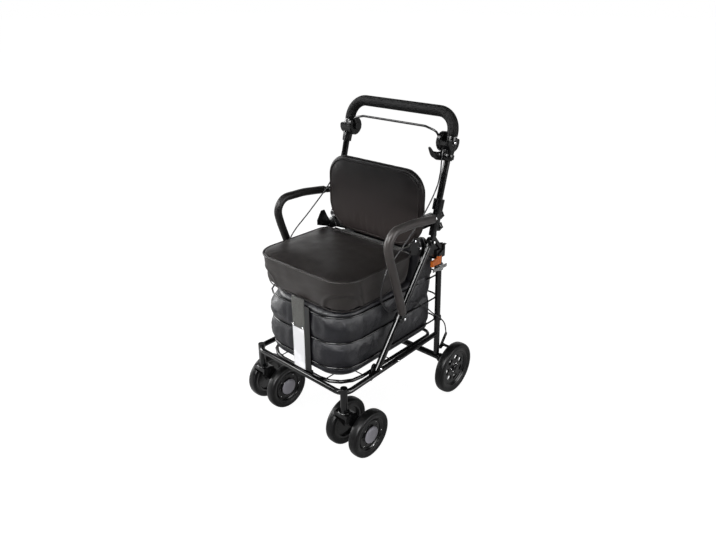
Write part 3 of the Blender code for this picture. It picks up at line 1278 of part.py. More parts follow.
def main():
    clear_scene()
    hands = ((-1, "left"), (1, "right"))
    fixed = [build_base_rail(), build_rear_axle(), build_basket(), build_bag(), build_strap(), build_label(),
             build_cross_bar(), build_seat_flap(), build_latch_catch()]
    for side, label in hands:
        fixed.append(build_leg(side, f"rear_leg_{label}"))
        fixed.append(build_strut(side, f"side_strut_{label}"))
        fixed.append(build_hinge_plate(side, f"hinge_plate_{label}"))
        fixed.append(build_brake_cable(side, f"brake_cable_{label}"))
    root = group("frame_body", (0, 0, 0), fixed)

    for side, label in hands:
        x, y = caster_centre()
        swivel = group(f"caster_swivel_{label}", (side * x, y, CASTER_SOCKET_BOTTOM),
                       [build_caster_fork(side, f"caster_fork_{label}")], root)
        for word, (centre, items) in build_caster_wheels(side, label).items():
            group(f"caster_wheel_{label}_{word}", centre, items, swivel)
        centre, items = build_rear_wheel(side, label)
        group(f"rear_wheel_{label}", centre, items, root)
        pivot_y, pivot_z = brake_pivot()
        group(f"brake_arm_{label}_body", (side * LEG_X, pivot_y, pivot_z),
              [build_brake_arm(side, f"brake_arm_{label}")], root)
        group(f"collar_{label}_body", (side * STRUT_X, strut_y(ARM_FOOT_Z), ARM_FOOT_Z),
              [build_collar(side, f"slide_collar_{label}")], root)

    group("seat_lid", (0, SEAT_BACK_Y, SEAT_PIPING_Z + 0.0015),
          [build_seat_cushion(), build_seat_board()], root)
    group("latch_body", (LEG_X + BLOCK_HALF_X, LATCH_PIVOT_Y, LATCH_PIVOT_Z), [build_latch_lever()], root)

    outer = [build_back_frame(), build_back_pad()]
    for side, label in hands:
        outer.append(build_handle_tube(side, f"handle_tube_{label}"))
        outer.append(build_clamp(side, f"height_clamp_{label}"))
    fold = group("fold_body", (0, FOLD_Y, FOLD_Z), outer, root)
    for side, label in hands:
        group(f"knob_{label}_body", knob_centre(side), [build_knob(side, f"clamp_knob_{label}")], fold)
        group(f"armrest_{label}_body", (side * ARM_END_X, ARM_PIVOT_Y, ARM_PIVOT_Z),
              [build_arm_tube(side, f"armrest_tube_{label}"), build_arm_foam(side, f"armrest_foam_{label}")],
              fold)
    inner = [build_handle_bar(), build_handle_grip(), build_bag_hook()]
    for side, label in hands:
        inner.append(build_brake_housing(side, f"brake_housing_{label}"))
    slide = group("slide_body", (0, lean_y(OUTER_TUBE_TOP_Z), OUTER_TUBE_TOP_Z), inner, fold)
    centre = drum_centre(1)
    group("brake_bar_body", (0, centre.y, centre.z), [build_brake_bar()], slide)

    for item in bpy.data.objects:
        if item.type == "MESH":
            item.data.shade_smooth()
            item.data.set_sharp_from_angle(angle=SMOOTH_ANGLE)


main()
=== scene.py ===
import json
import math

import bmesh
import bpy
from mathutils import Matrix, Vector, noise


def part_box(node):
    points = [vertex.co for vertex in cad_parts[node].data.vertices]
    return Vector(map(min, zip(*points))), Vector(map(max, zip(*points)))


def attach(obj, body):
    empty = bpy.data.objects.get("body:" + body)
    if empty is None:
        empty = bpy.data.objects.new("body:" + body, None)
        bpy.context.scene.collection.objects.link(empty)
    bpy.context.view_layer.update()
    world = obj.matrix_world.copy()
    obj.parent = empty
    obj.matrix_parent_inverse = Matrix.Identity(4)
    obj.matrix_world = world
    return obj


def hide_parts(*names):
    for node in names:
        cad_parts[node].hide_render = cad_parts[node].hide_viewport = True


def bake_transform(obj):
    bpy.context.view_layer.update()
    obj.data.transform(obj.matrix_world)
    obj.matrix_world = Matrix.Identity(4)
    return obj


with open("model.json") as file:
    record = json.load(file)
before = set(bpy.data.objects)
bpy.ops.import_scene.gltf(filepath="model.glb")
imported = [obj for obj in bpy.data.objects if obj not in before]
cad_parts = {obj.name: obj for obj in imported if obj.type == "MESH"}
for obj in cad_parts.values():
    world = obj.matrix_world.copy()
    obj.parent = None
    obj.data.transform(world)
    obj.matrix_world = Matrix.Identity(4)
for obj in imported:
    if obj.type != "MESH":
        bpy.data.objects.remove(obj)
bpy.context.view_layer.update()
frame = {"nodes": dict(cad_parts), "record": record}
NODES = frame["nodes"]

# Camera, fitted to the photograph: place in metres, angles in degrees, lens in millimetres
CAMERA_PLACE = (1.156, -1.297, 1.227)
CAMERA_AZIMUTH = 42.26
CAMERA_ELEVATION = 24.13
CAMERA_LENS = 30.75
CAMERA_SENSOR = 36.0

# Light, by direction: the direction, the cosines where a soft edge starts and ends, and brightness
BACKDROP = ((-0.61, 0.67, -0.42), 0.35, 0.92, 1.0)
SOFT_BOXES = (((-0.94, -0.26, 0.18), 0.930, 0.965, 11.0),
              ((0.92, 0.25, 0.30), 0.92, 0.96, 7.0),
              ((0.06, -0.77, 0.64), 0.955, 0.985, 22.0),
              ((-0.62, -0.62, -0.05), 0.975, 0.990, 1.6),
              ((-0.61, -0.50, 0.62), 0.984, 0.995, 16.0),
              ((0.48, -0.48, 0.73), 0.984, 0.995, 16.0))
FLOOR_GLOW = ((-0.72, -0.69, 0.0), 0.940, 0.985, 0.80)
FLOOR_IN_GLOSS = 0.30
ROOM_IN_GLOSS = 0.04
WORLD_LIGHT = 0.25
FLOOR_WHITE = 0.93
FLOOR_SIZE = 40.0
WHITE = (1.0, 1.0, 1.0, 1.0)

# Lamps: name, place, target, size, watts
LAMPS = (("key", (-1.6, -2.0, 1.3), (0, 0, 0.45), (0.9, 1.0), 12),
         ("low", (-1.3, -2.2, 0.4), (0, 0, 0.5), (1.6, 0.6), 16),
         ("front", (0.9, -2.6, 0.6), (0, 0, 0.45), (1.3, 0.8), 22),
         ("fill", (2.0, -2.1, 0.35), (0, 0, 0.3), (1.0, 0.5), 18),
         ("side", (2.3, 0.6, 1.3), (0, 0, 0.45), (0.5, 1.5), 4),
         ("top", (-0.2, 0.7, 2.8), (0, 0, 0.45), (1.5, 0.8), 8))

# Driving places, the same as in the solids, in metres
FOLD_Y, FOLD_Z = 0.077, 0.573
HANDLE_LEAN = 0.256
TUBE_X = 0.195
HANDLE_TOP_Z = 0.930
HANDLE_CORNER = 0.055
GRIP_RADIUS = 0.016
GRIP_END_Z = 0.868
HOOK_Z = 0.8065
LATCH_TAB_Z = 0.5115
ARM_X, ARM_END_X = 0.2180, 0.2105
ARM_END_HALF, ARM_TUBE_RADIUS = 0.003, 0.0092
ARM_FOAM_RADIUS = 0.0122
ARM_BARE_TOP, ARM_BARE_FOOT = 0.024, 0.033
ARM_FLAT_LENGTH, ARM_SPREAD_LENGTH = 0.023, 0.032
SLEEVE_ROUND = 0.0035
ARM_PIVOT = (0.067, 0.651)
ARM_FOOT_Z = 0.379
STRUT_FOOT = (-0.158, 0.245)
SEAT_HALF_X = 0.1835
SEAT_FRONT_Y, SEAT_BACK_Y = -0.284, 0.022
SEAT_CORNER, SEAT_BACK_CORNER = 0.072, 0.030
SEAT_BOTTOM_Z, SEAT_PIPING_Z, SEAT_CROWN_Z = 0.4645, 0.5445, 0.559
BACK_HALF_X = 0.1839
BACK_LOW_Z, BACK_HIGH_Z = 0.5466, 0.7824
BACK_LOW_CORNER, BACK_TOP_CORNER = 0.0884, 0.0684
BACK_Y = 0.050
CASTER_RADIUS, CASTER_WIDTH, CAP_RADIUS = 0.0736, 0.030, 0.0262
STUD_TURN = 0.5
REAR_RADIUS, REAR_WIDTH = 0.0875, 0.031
TREAD_STEPS = 14
SPOKES, SPOKE_DEPTH = 7, 0.0085
WINDOW_WIDTH, WINDOW_HEIGHT = 0.62, 0.62 * 0.72
RING_HEIGHTS = (0.270, 0.350, 0.430)
RING_HALF_X = 0.1652
RING_FRONT_Y = -0.277
RING_CORNER = 0.086
WIRE_RADIUS = 0.0028
BAG_BACK_Y = 0.150
BAG_BACK_CORNER = 0.042
BAG_FLOOR_Z = 0.2305
BAG_TOP_Z = 0.4510
STRAP_X = 0.0045
DRUM_Z = 0.852
LEG_X, LEG_RADIUS = 0.178, 0.0095
BRAKE_PIVOT_Y, BRAKE_PIVOT_Z = 0.16402, 0.176
CABLE_HIGH_X, CABLE_RADIUS = 0.194, 0.0023
CABLE_BAND_Y, CABLE_BAND_Z, CABLE_BAND_WALL = 0.15876, 0.2825, 0.003
CAD_GAP = 0.0003

# The seat's cover: an arc folds over each front corner, with a pleat behind it and a low hem
ARC_X, ARC_Y, ARC_Z = 0.150, -0.250, SEAT_BOTTOM_Z + 0.002
ARC_RADIUS, ARC_FLATTENING = 0.056, 1.45
ARC_LIP, ARC_HOLLOW = 0.0026, 0.0050
PLEAT_Y, PLEAT_WIDTH, PLEAT_DEPTH = -0.196, 0.0045, 0.0022
HEM_DROP = 0.014
TRAY_INSET = 0.040

# The bag's cloth: folds, the tuck at its floor, and the rise of its rear towards the handle
CLOTH_GAP = 0.0004
BAG_TUCK, BAG_PUFF = 0.026, 0.0082
BAG_REAR_Y, BAG_REAR_RISE = 0.034, 0.066
BAG_POINTS, BAG_LEVELS = 220, 66
GUSSET_LOW_Z, GUSSET_MAX_X = 0.4300, 0.1778
GUSSET_LEFT_CUT = 0.062

CLOTH_FRAMES = 20
CLOTH_SETTINGS = {"quality": 4, "mass": 0.3, "tension_stiffness": 12, "compression_stiffness": 12,
                  "bending_stiffness": 0.6, "use_pressure": True, "vertex_group_mass": "pins"}

AXIS_X = Vector((1, 0, 0))
AXIS_Y = Vector((0, 1, 0))
AXIS_Z = Vector((0, 0, 1))
LEAN_AXIS = Vector((0, HANDLE_LEAN, 1)).normalized()
HANDS = ((-1, "left"), (1, "right"))
WHEEL_HANDS = ((-1, "inner"), (1, "outer"))


def grain(place, across, along, up):
    # Smooth noise with its own scale in each direction.
    return noise.noise(Vector((place.x * across, place.y * along, place.z * up)))


def lean_y(z):
    return FOLD_Y + HANDLE_LEAN * (z - FOLD_Z)


def strut_y(z):
    return FOLD_Y + (z - FOLD_Z) * (FOLD_Y - STRUT_FOOT[0]) / (FOLD_Z - STRUT_FOOT[1])


def soft(share):
    # Goes from 0 to 1 with a soft start and end.
    share = min(max(share, 0.0), 1.0)
    return share * share * (3 - 2 * share)


# Camera, light and floor


def add_object(name, data):
    item = bpy.data.objects.new(name, data)
    bpy.context.scene.collection.objects.link(item)
    return item


def add_camera():
    azimuth = math.radians(CAMERA_AZIMUTH)
    elevation = math.radians(CAMERA_ELEVATION)
    back = Vector((math.cos(elevation) * math.sin(azimuth),
                   -math.cos(elevation) * math.cos(azimuth), math.sin(elevation)))
    data = bpy.data.cameras.new("camera")
    data.lens = CAMERA_LENS
    data.sensor_width = CAMERA_SENSOR
    item = add_object("camera", data)
    item.location = CAMERA_PLACE
    item.rotation_euler = back.to_track_quat("Z", "Y").to_euler()
    bpy.context.scene.camera = item


def add_node(tree, kind, inputs=None, **settings):
    # A shader node. Each input takes a value or another node's output.
    made = tree.nodes.new(kind)
    for key, value in settings.items():
        setattr(made, key, value)
    for key, value in (inputs or {}).items():
        if isinstance(value, bpy.types.NodeSocket):
            tree.links.new(value, made.inputs[key])
        else:
            made.inputs[key].default_value = value
    return made


def add_math(tree, operation, first, second):
    return add_node(tree, "ShaderNodeMath", {0: first, 1: second}, operation=operation).outputs[0]


def add_range(tree, source, low, high, to_low, to_high, **settings):
    inputs = {"Value": source, "From Min": low, "From Max": high, "To Min": to_low, "To Max": to_high}
    return add_node(tree, "ShaderNodeMapRange", inputs, **settings).outputs["Result"]


def facing_share(tree, glow, dim=0.0, source=None):
    # Grows from dim to the glow's brightness as a ray turns towards its direction.
    direction, low, high, bright = glow
    if source is None:
        source = add_node(tree, "ShaderNodeTexCoord").outputs["Generated"]
    inputs = {0: source, 1: Vector(direction).normalized()}
    facing = add_node(tree, "ShaderNodeVectorMath", inputs, operation="DOT_PRODUCT").outputs["Value"]
    return add_range(tree, facing, low, high, dim, bright, interpolation_type="SMOOTHSTEP")


def background_share(tree):
    # 1 on camera and transmission rays. On glossy rays a share, since a real floor is dimmer near
    # the object, with a brighter sector towards the lamps.
    rays = add_node(tree, "ShaderNodeLightPath").outputs
    place = add_node(tree, "ShaderNodeTexCoord").outputs["Object"]
    turned = add_node(tree, "ShaderNodeVectorMath", {0: place}, operation="NORMALIZE").outputs["Vector"]
    glossy = add_math(tree, "MULTIPLY", rays["Is Glossy Ray"],
                      facing_share(tree, FLOOR_GLOW, FLOOR_IN_GLOSS, turned))
    seen = add_math(tree, "MAXIMUM", rays["Is Camera Ray"], glossy)
    return add_math(tree, "MAXIMUM", seen, rays["Is Transmission Ray"])


def studio_glow(tree):
    # What shiny surfaces reflect: a dim room, the white backdrop and the soft boxes.
    total = facing_share(tree, BACKDROP, ROOM_IN_GLOSS)
    for box in SOFT_BOXES:
        total = add_math(tree, "ADD", total, facing_share(tree, box))
    return total


def mix_shaders(tree, share, first, second):
    return add_node(tree, "ShaderNodeMixShader", {0: share, 1: first.outputs[0], 2: second.outputs[0]})


def add_world():
    world = bpy.data.worlds.new("studio")
    bpy.context.scene.world = world
    world.use_nodes = True
    tree = world.node_tree
    light = tree.nodes["Background"]
    light.inputs["Color"].default_value = WHITE
    light.inputs["Strength"].default_value = WORLD_LIGHT
    glow = add_node(tree, "ShaderNodeBackground", {"Color": WHITE, "Strength": studio_glow(tree)})
    white = add_node(tree, "ShaderNodeBackground", {"Color": WHITE, "Strength": 1.0})
    rays = add_node(tree, "ShaderNodeLightPath").outputs
    seen = add_math(tree, "MAXIMUM", rays["Is Camera Ray"], rays["Is Transmission Ray"])
    mix = mix_shaders(tree, seen, mix_shaders(tree, rays["Is Glossy Ray"], light, glow), white)
    tree.links.new(mix.outputs[0], tree.nodes["World Output"].inputs["Surface"])


def add_floor():
    shape = bmesh.new()
    bmesh.ops.create_grid(shape, x_segments=1, y_segments=1, size=FLOOR_SIZE)
    mesh = bpy.data.meshes.new("floor")
    shape.to_mesh(mesh)
    shape.free()
    floor = add_object("floor", mesh)
    floor.location = (0, 0, -0.0002)
    made = bpy.data.materials.new("floor_white")
    made.use_nodes = True
    tree = made.node_tree
    shader = tree.nodes["Principled BSDF"]
    shader.inputs["Base Color"].default_value = (0.30, 0.30, 0.30, 1.0)
    shader.inputs["Roughness"].default_value = 0.9
    shader.inputs["Specular IOR Level"].default_value = 0.0
    strength = add_math(tree, "MULTIPLY", background_share(tree), FLOOR_WHITE)
    glow = add_node(tree, "ShaderNodeEmission", {"Color": WHITE, "Strength": strength})
    both = add_node(tree, "ShaderNodeAddShader", {0: shader.outputs[0], 1: glow.outputs[0]})
    tree.links.new(both.outputs[0], tree.nodes["Material Output"].inputs["Surface"])
    mesh.materials.append(made)


def add_lamps():
    # The lamps light by diffusion alone, and the soft boxes of the world give the highlights.
    for name, place, target, size, watts in LAMPS:
        data = bpy.data.lights.new(name, "AREA")
        data.shape = "RECTANGLE"
        data.size, data.size_y = size
        data.energy = watts
        item = add_object(name, data)
        item.location = place
        item.rotation_euler = (Vector(target) - Vector(place)).to_track_quat("-Z", "Y").to_euler()
        item.visible_glossy = False


# Materials


class Finish:
    # One Principled material with small helpers that add texture to it.

    def __init__(self, name, colour, roughness, **sockets):
        self.made = bpy.data.materials.new(name)
        self.made.use_nodes = True
        self.tree = self.made.node_tree
        self.inputs = self.tree.nodes["Principled BSDF"].inputs
        self.colour = colour
        self.roughness = roughness
        self.inputs["Base Color"].default_value = (*colour, 1.0)
        self.inputs["Roughness"].default_value = roughness
        for socket, value in sockets.items():
            self.inputs[socket.replace("_", " ")].default_value = value
        self.place = add_node(self.tree, "ShaderNodeTexCoord").outputs["Object"]
        self.normal = None

    def noise(self, scale, detail):
        inputs = {"Vector": self.place, "Scale": scale, "Detail": detail}
        return add_node(self.tree, "ShaderNodeTexNoise", inputs).outputs["Fac"]

    def cells(self, scale, feature="DISTANCE_TO_EDGE"):
        inputs = {"Vector": self.place, "Scale": scale}
        return add_node(self.tree, "ShaderNodeTexVoronoi", inputs, feature=feature).outputs["Distance"]

    def wave(self, scale, direction, distortion=0.0):
        inputs = {"Vector": self.place, "Scale": scale, "Distortion": distortion}
        return add_node(self.tree, "ShaderNodeTexWave", inputs, bands_direction=direction).outputs["Fac"]

    def tint(self, source, low, high, other):
        # Mixes the material's colour with another one by a texture.
        base = self.inputs["Base Color"]
        first = base.links[0].from_socket if base.is_linked else (*self.colour, 1.0)
        share = add_range(self.tree, source, low, high, 0.0, 1.0)
        mix = add_node(self.tree, "ShaderNodeMix", {"Factor": share, "A": first, "B": (*other, 1.0)},
                       data_type="RGBA")
        self.tree.links.new(mix.outputs["Result"], base)

    def tint_paler(self, source, low, high, gain, lift):
        self.tint(source, low, high, tuple(c * gain + lift for c in self.colour))

    def tint_by_height(self, start, end, other):
        # Changes to another colour between two heights.
        split = add_node(self.tree, "ShaderNodeSeparateXYZ", {0: self.place})
        self.tint(split.outputs["Z"], start, end, other)

    def gloss(self, source, low, high, spread):
        share = add_range(self.tree, source, low, high, self.roughness - spread, self.roughness + spread)
        self.tree.links.new(share, self.inputs["Roughness"])

    def turn_normal(self, kind, inputs, **settings):
        self.normal = add_node(self.tree, kind, inputs, **settings).outputs["Normal"]
        self.tree.links.new(self.normal, self.inputs["Normal"])

    def bump(self, source, depth, strength):
        inputs = {"Strength": strength, "Distance": depth, "Height": source}
        if self.normal is not None:
            inputs["Normal"] = self.normal
        self.turn_normal("ShaderNodeBump", inputs)

    def round_edges(self, radius):
        self.turn_normal("ShaderNodeBevel", {"Radius": radius}, samples=4)


def steel_finish(name, colour, roughness, **sockets):
    made = Finish(name, colour, roughness, **sockets)
    made.round_edges(0.0006)
    made.gloss(made.noise(45.0, 3.0), 0.35, 0.65, 0.05)
    made.tint_paler(made.noise(9.0, 4.0), 0.45, 0.75, 1.6, 0.002)
    made.bump(made.noise(520.0, 2.0), 0.00010, 0.25)
    return made


def plastic_finish(name, colour, roughness, grain_depth=0.00006, **sockets):
    made = Finish(name, colour, roughness, **sockets)
    made.round_edges(0.0007)
    made.gloss(made.noise(60.0, 3.0), 0.3, 0.7, 0.06)
    made.tint_paler(made.noise(14.0, 5.0), 0.50, 0.80, 1.5, 0.003)
    made.bump(made.cells(1500.0, "F1"), grain_depth, 0.5)
    return made


def leather_finish(name, colour, roughness, **sockets):
    made = Finish(name, colour, roughness, **sockets)
    made.gloss(made.noise(30.0, 4.0), 0.3, 0.7, 0.07)
    made.tint_paler(made.noise(7.0, 5.0), 0.40, 0.75, 1.35, 0.003)
    made.bump(made.noise(26.0, 4.0), 0.0012, 0.25)
    made.bump(made.cells(620.0), 0.00030, 0.45)
    return made


def cloth_finish(name, colour, roughness, thread, **sockets):
    # A plain weave: two crossing sets of threads.
    made = Finish(name, colour, roughness, **sockets)
    sets = [add_math(made.tree, "MULTIPLY", made.wave(thread, across), made.wave(thread, "Z"))
            for across in "XY"]
    weave = add_math(made.tree, "MAXIMUM", *sets)
    made.gloss(made.noise(24.0, 4.0), 0.3, 0.7, 0.07)
    made.tint_paler(made.noise(8.0, 5.0), 0.42, 0.78, 1.5, 0.002)
    made.bump(made.noise(20.0, 5.0), 0.0016, 0.30)
    made.bump(weave, 0.00022, 0.5)
    return made


def rubber_finish(name, colour, roughness, dust, **sockets):
    made = Finish(name, colour, roughness, **sockets)
    made.gloss(made.noise(50.0, 4.0), 0.3, 0.7, 0.08)
    made.tint(made.noise(16.0, 6.0), 0.50, 0.78, dust)
    made.bump(made.noise(420.0, 3.0), 0.00022, 0.5)
    return made


def foam_finish(name, colour, roughness, **sockets):
    made = Finish(name, colour, roughness, **sockets)
    made.tint_paler(made.noise(12.0, 5.0), 0.45, 0.75, 1.5, 0.003)
    made.bump(made.noise(60.0, 3.0), 0.0006, 0.3)
    made.bump(made.noise(1100.0, 2.0), 0.00025, 0.8)
    return made


def webbing_finish(name, colour, roughness):
    # Ribs run across the band, with a finer thread along it.
    made = Finish(name, colour, roughness, Sheen_Weight=0.2, Sheen_Roughness=0.5)
    made.tint_paler(made.noise(10.0, 5.0), 0.42, 0.78, 1.4, 0.0)
    made.tint_paler(made.wave(330.0, "Z", 0.6), 0.30, 0.90, 1.35, 0.0)
    made.bump(made.wave(330.0, "Z", 0.6), 0.00050, 0.8)
    made.bump(made.wave(700.0, "X", 0.4), 0.00025, 0.6)
    return made


def make_finishes():
    made = {
        "black_steel": steel_finish("gloss_black_paint", (0.0026, 0.0026, 0.0029), 0.16,
                                    Specular_IOR_Level=0.50),
        "grey_steel": steel_finish("grey_steel", (0.36, 0.36, 0.36), 0.34, Metallic=0.85),
        "bright_steel": steel_finish("bright_steel", (0.86, 0.86, 0.87), 0.20, Metallic=1.0),
        "tyre_rubber": rubber_finish("tyre_rubber", (0.0065, 0.0065, 0.0068), 0.36, (0.016, 0.016, 0.016),
                                     Specular_IOR_Level=0.20),
        "black_plastic": plastic_finish("black_plastic", (0.0038, 0.0038, 0.0041), 0.22,
                                        Specular_IOR_Level=0.42),
        "cap_plastic": plastic_finish("cap_plastic", (0.255, 0.248, 0.278), 0.36, Specular_IOR_Level=0.4),
        "orange_plastic": plastic_finish("orange_plastic", (0.80, 0.190, 0.030), 0.24),
        "grip_foam": foam_finish("grip_foam", (0.0030, 0.0030, 0.0031), 0.66, Specular_IOR_Level=0.15),
        "armrest_foam": foam_finish("armrest_foam", (0.036, 0.0315, 0.0302), 0.44,
                                    Specular_IOR_Level=0.45, Sheen_Weight=0.10, Sheen_Roughness=0.4),
        # The same foam painted darker: painted shade for the left sleeve, seen from its shaded inner side.
        "armrest_foam_left": foam_finish("armrest_foam_left", (0.0066, 0.0060, 0.0058), 0.44,
                                         Specular_IOR_Level=0.28, Sheen_Weight=0.10, Sheen_Roughness=0.4),
        "seat_leatherette": leather_finish("seat_leatherette", (0.0215, 0.0186, 0.0176), 0.38,
                                           Specular_IOR_Level=0.36, Sheen_Weight=0.03, Sheen_Roughness=0.4),
        "back_leatherette": leather_finish("back_leatherette", (0.0060, 0.0056, 0.0058), 0.36,
                                           Specular_IOR_Level=0.10, Sheen_Weight=0.02, Sheen_Roughness=0.4),
        "bag_fabric": cloth_finish("bag_fabric", (0.0068, 0.0068, 0.0090), 0.35, 420.0,
                                   Specular_IOR_Level=0.50),
        "strap_webbing": webbing_finish("strap_webbing", (0.058, 0.058, 0.052), 0.70),
        "label_film": plastic_finish("label_film", (0.80, 0.80, 0.82), 0.40, 0.00002),
        "cable_jacket": plastic_finish("cable_jacket", (0.020, 0.020, 0.021), 0.34),
    }
    # The latch's arm is black above its orange tab.
    made["orange_plastic"].tint_by_height(LATCH_TAB_Z, LATCH_TAB_Z + 0.0005, (0.006, 0.006, 0.006))
    # Painted light: the backrest is painted paler downwards, for the light that its lower part catches from
    # the front and the floor.
    made["back_leatherette"].tint_by_height(0.760, 0.575, (0.0460, 0.0385, 0.0372))
    return made


# Mesh helpers


def add_piece(name, shape, finish, body, smooth=True):
    # Adds a bmesh as a piece with a finish and the body that it rides with.
    bmesh.ops.recalc_face_normals(shape, faces=shape.faces)
    mesh = bpy.data.meshes.new(name)
    shape.to_mesh(mesh)
    shape.free()
    item = add_object(name, mesh)
    mesh.materials.append(FINISHES[finish].made)
    if smooth:
        mesh.shade_smooth()
    if body:
        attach(item, body)
    return item


def add_skin(piece, thickness, offset=0.0):
    skin = piece.modifiers.new("skin", "SOLIDIFY")
    skin.thickness = thickness
    skin.offset = offset


def bevel_edges(piece, width):
    bevel = piece.modifiers.new("soft", "BEVEL")
    bevel.width = width
    bevel.segments = 2
    bevel.limit_method = "ANGLE"


def add_shape(name, rows, finish, body, smooth=True, wrap_rows=False, caps=(0, -1), closed=True):
    # Adds a piece whose skin joins rows of points. Caps are the rows that a face closes.
    shape = bmesh.new()
    made = [[shape.verts.new(point) for point in row] for row in rows]
    count = len(made[0])
    for index in range(len(made) if wrap_rows else len(made) - 1):
        low, high = made[index], made[(index + 1) % len(made)]
        for step in range(count if closed else count - 1):
            after = (step + 1) % count
            shape.faces.new((low[step], low[after], high[after], high[step]))
    for number in () if wrap_rows else caps:
        shape.faces.new(made[number] if number else list(reversed(made[0])))
    return add_piece(name, shape, finish, body, smooth)


def ellipse(middle, side, top, width, height, count):
    turns = [2 * math.pi * index / count for index in range(count)]
    return [middle + side * (width * math.cos(turn)) + top * (height * math.sin(turn)) for turn in turns]


def fillet(points, radii, steps):
    # Rounds the inner corners of an open path.
    points = [Vector(p) for p in points]
    result = [points[0]]
    for index in range(1, len(points) - 1):
        corner, radius = points[index], radii[index - 1]
        back = (points[index - 1] - corner).normalized()
        ahead = (points[index + 1] - corner).normalized()
        angle = back.angle(ahead)
        reach = radius / math.tan(angle / 2)
        start, end = corner + back * reach, corner + ahead * reach
        centre = corner + (back + ahead).normalized() * (radius / math.sin(angle / 2))
        turn = math.pi - angle
        for step in range(steps + 1):
            blend = step / steps
            a = math.sin((1 - blend) * turn) / math.sin(turn)
            b = math.sin(blend * turn) / math.sin(turn)
            result.append(centre + (start - centre) * a + (end - centre) * b)
    result.append(points[-1])
    return result


def resample(points, spacing=None, count=None, closed=False):
    # Evenly spaced points along a path.
    line = list(points) + ([points[0]] if closed else [])
    lengths = [(line[i + 1] - line[i]).length for i in range(len(line) - 1)]
    total = sum(lengths)
    if count is None:
        count = max(2, round(total / spacing) + (0 if closed else 1))
    parts = count if closed else count - 1
    result = []
    index, run = 0, 0.0
    for number in range(count):
        at = total * number / parts
        while index < len(lengths) - 1 and run + lengths[index] < at:
            run += lengths[index]
            index += 1
        share = (at - run) / max(lengths[index], 1e-9)
        result.append(line[index].lerp(line[index + 1], min(max(share, 0.0), 1.0)))
    return result


def smooth_curve(points, per_span):
    # A smooth curve through the given points.
    result = []
    for index in range(len(points) - 1):
        p0, p1 = points[max(index - 1, 0)], points[index]
        p2, p3 = points[index + 1], points[min(index + 2, len(points) - 1)]
        for step in range(per_span):
            t = step / per_span
            result.append(0.5 * ((2 * p1) + (p2 - p0) * t + (2 * p0 - 5 * p1 + 4 * p2 - p3) * t ** 2
                                 + (3 * p1 - p0 - 3 * p2 + p3) * t ** 3))
    result.append(points[-1])
    return result


def tube_rows(path, radii, sides, closed, up):
    rows = []
    total = len(path)
    for index, point in enumerate(path):
        before = path[index - 1] if closed else path[max(index - 1, 0)]
        after = path[(index + 1) % total] if closed else path[min(index + 1, total - 1)]
        ahead = (after - before).normalized()
        side = ahead.cross(up)
        if side.length < 1e-4:
            side = ahead.cross(AXIS_X)
        side.normalize()
        top = side.cross(ahead).normalized()
        radius = radii[index] if isinstance(radii, list) else radii
        rows.append(ellipse(point, side, top, radius, radius, sides))
    return rows


def tube(name, path, radii, finish, body, sides, closed=False, up=AXIS_Z):
    rows = tube_rows(path, radii, sides, closed, up)
    return add_shape(name, rows, finish, body, wrap_rows=closed)


def plan_outline(half_x, front, back, front_corner, back_corner, count):
    # A closed outline with round corners, evenly spaced, from the middle of the front edge towards +X.
    corners = [((half_x - front_corner, front + front_corner), front_corner, -90),
               ((half_x - back_corner, back - back_corner), back_corner, 0),
               ((-half_x + back_corner, back - back_corner), back_corner, 90),
               ((-half_x + front_corner, front + front_corner), front_corner, 180)]
    points = [Vector((0, front, 0))]
    for (cx, cy), radius, start in corners:
        for step in range(13):
            angle = math.radians(start + 90 * step / 12)
            points.append(Vector((cx + radius * math.cos(angle), cy + radius * math.sin(angle), 0)))
    return resample(points, count=count, closed=True)


def bolt(name, place, axis, radius, body, height=None, finish="bright_steel"):
    # A domed bolt head with a hexagon socket.
    height = height or radius * 0.55
    axis = Vector(axis).normalized()
    side = axis.orthogonal().normalized()
    other = axis.cross(side)
    place = Vector(place)
    profile = [(radius * 0.90, -0.0012), (radius, 0.0), (radius * 0.98, height * 0.45),
               (radius * 0.80, height * 0.85), (radius * 0.50, height), (radius * 0.46, height * 0.96),
               (radius * 0.40, height * 0.45)]
    rows = [ellipse(place + axis * out, side, other, size, size, 18) for size, out in profile]
    add_shape(name, rows, finish, body)


def move_points(piece, move):
    # Moves each vertex by a function of its place and normal.
    mesh = piece.data
    mesh.update()
    normals = [vertex.normal.copy() for vertex in mesh.vertices]
    for vertex, normal in zip(mesh.vertices, normals):
        vertex.co = vertex.co + move(vertex.co, normal)
    mesh.update()


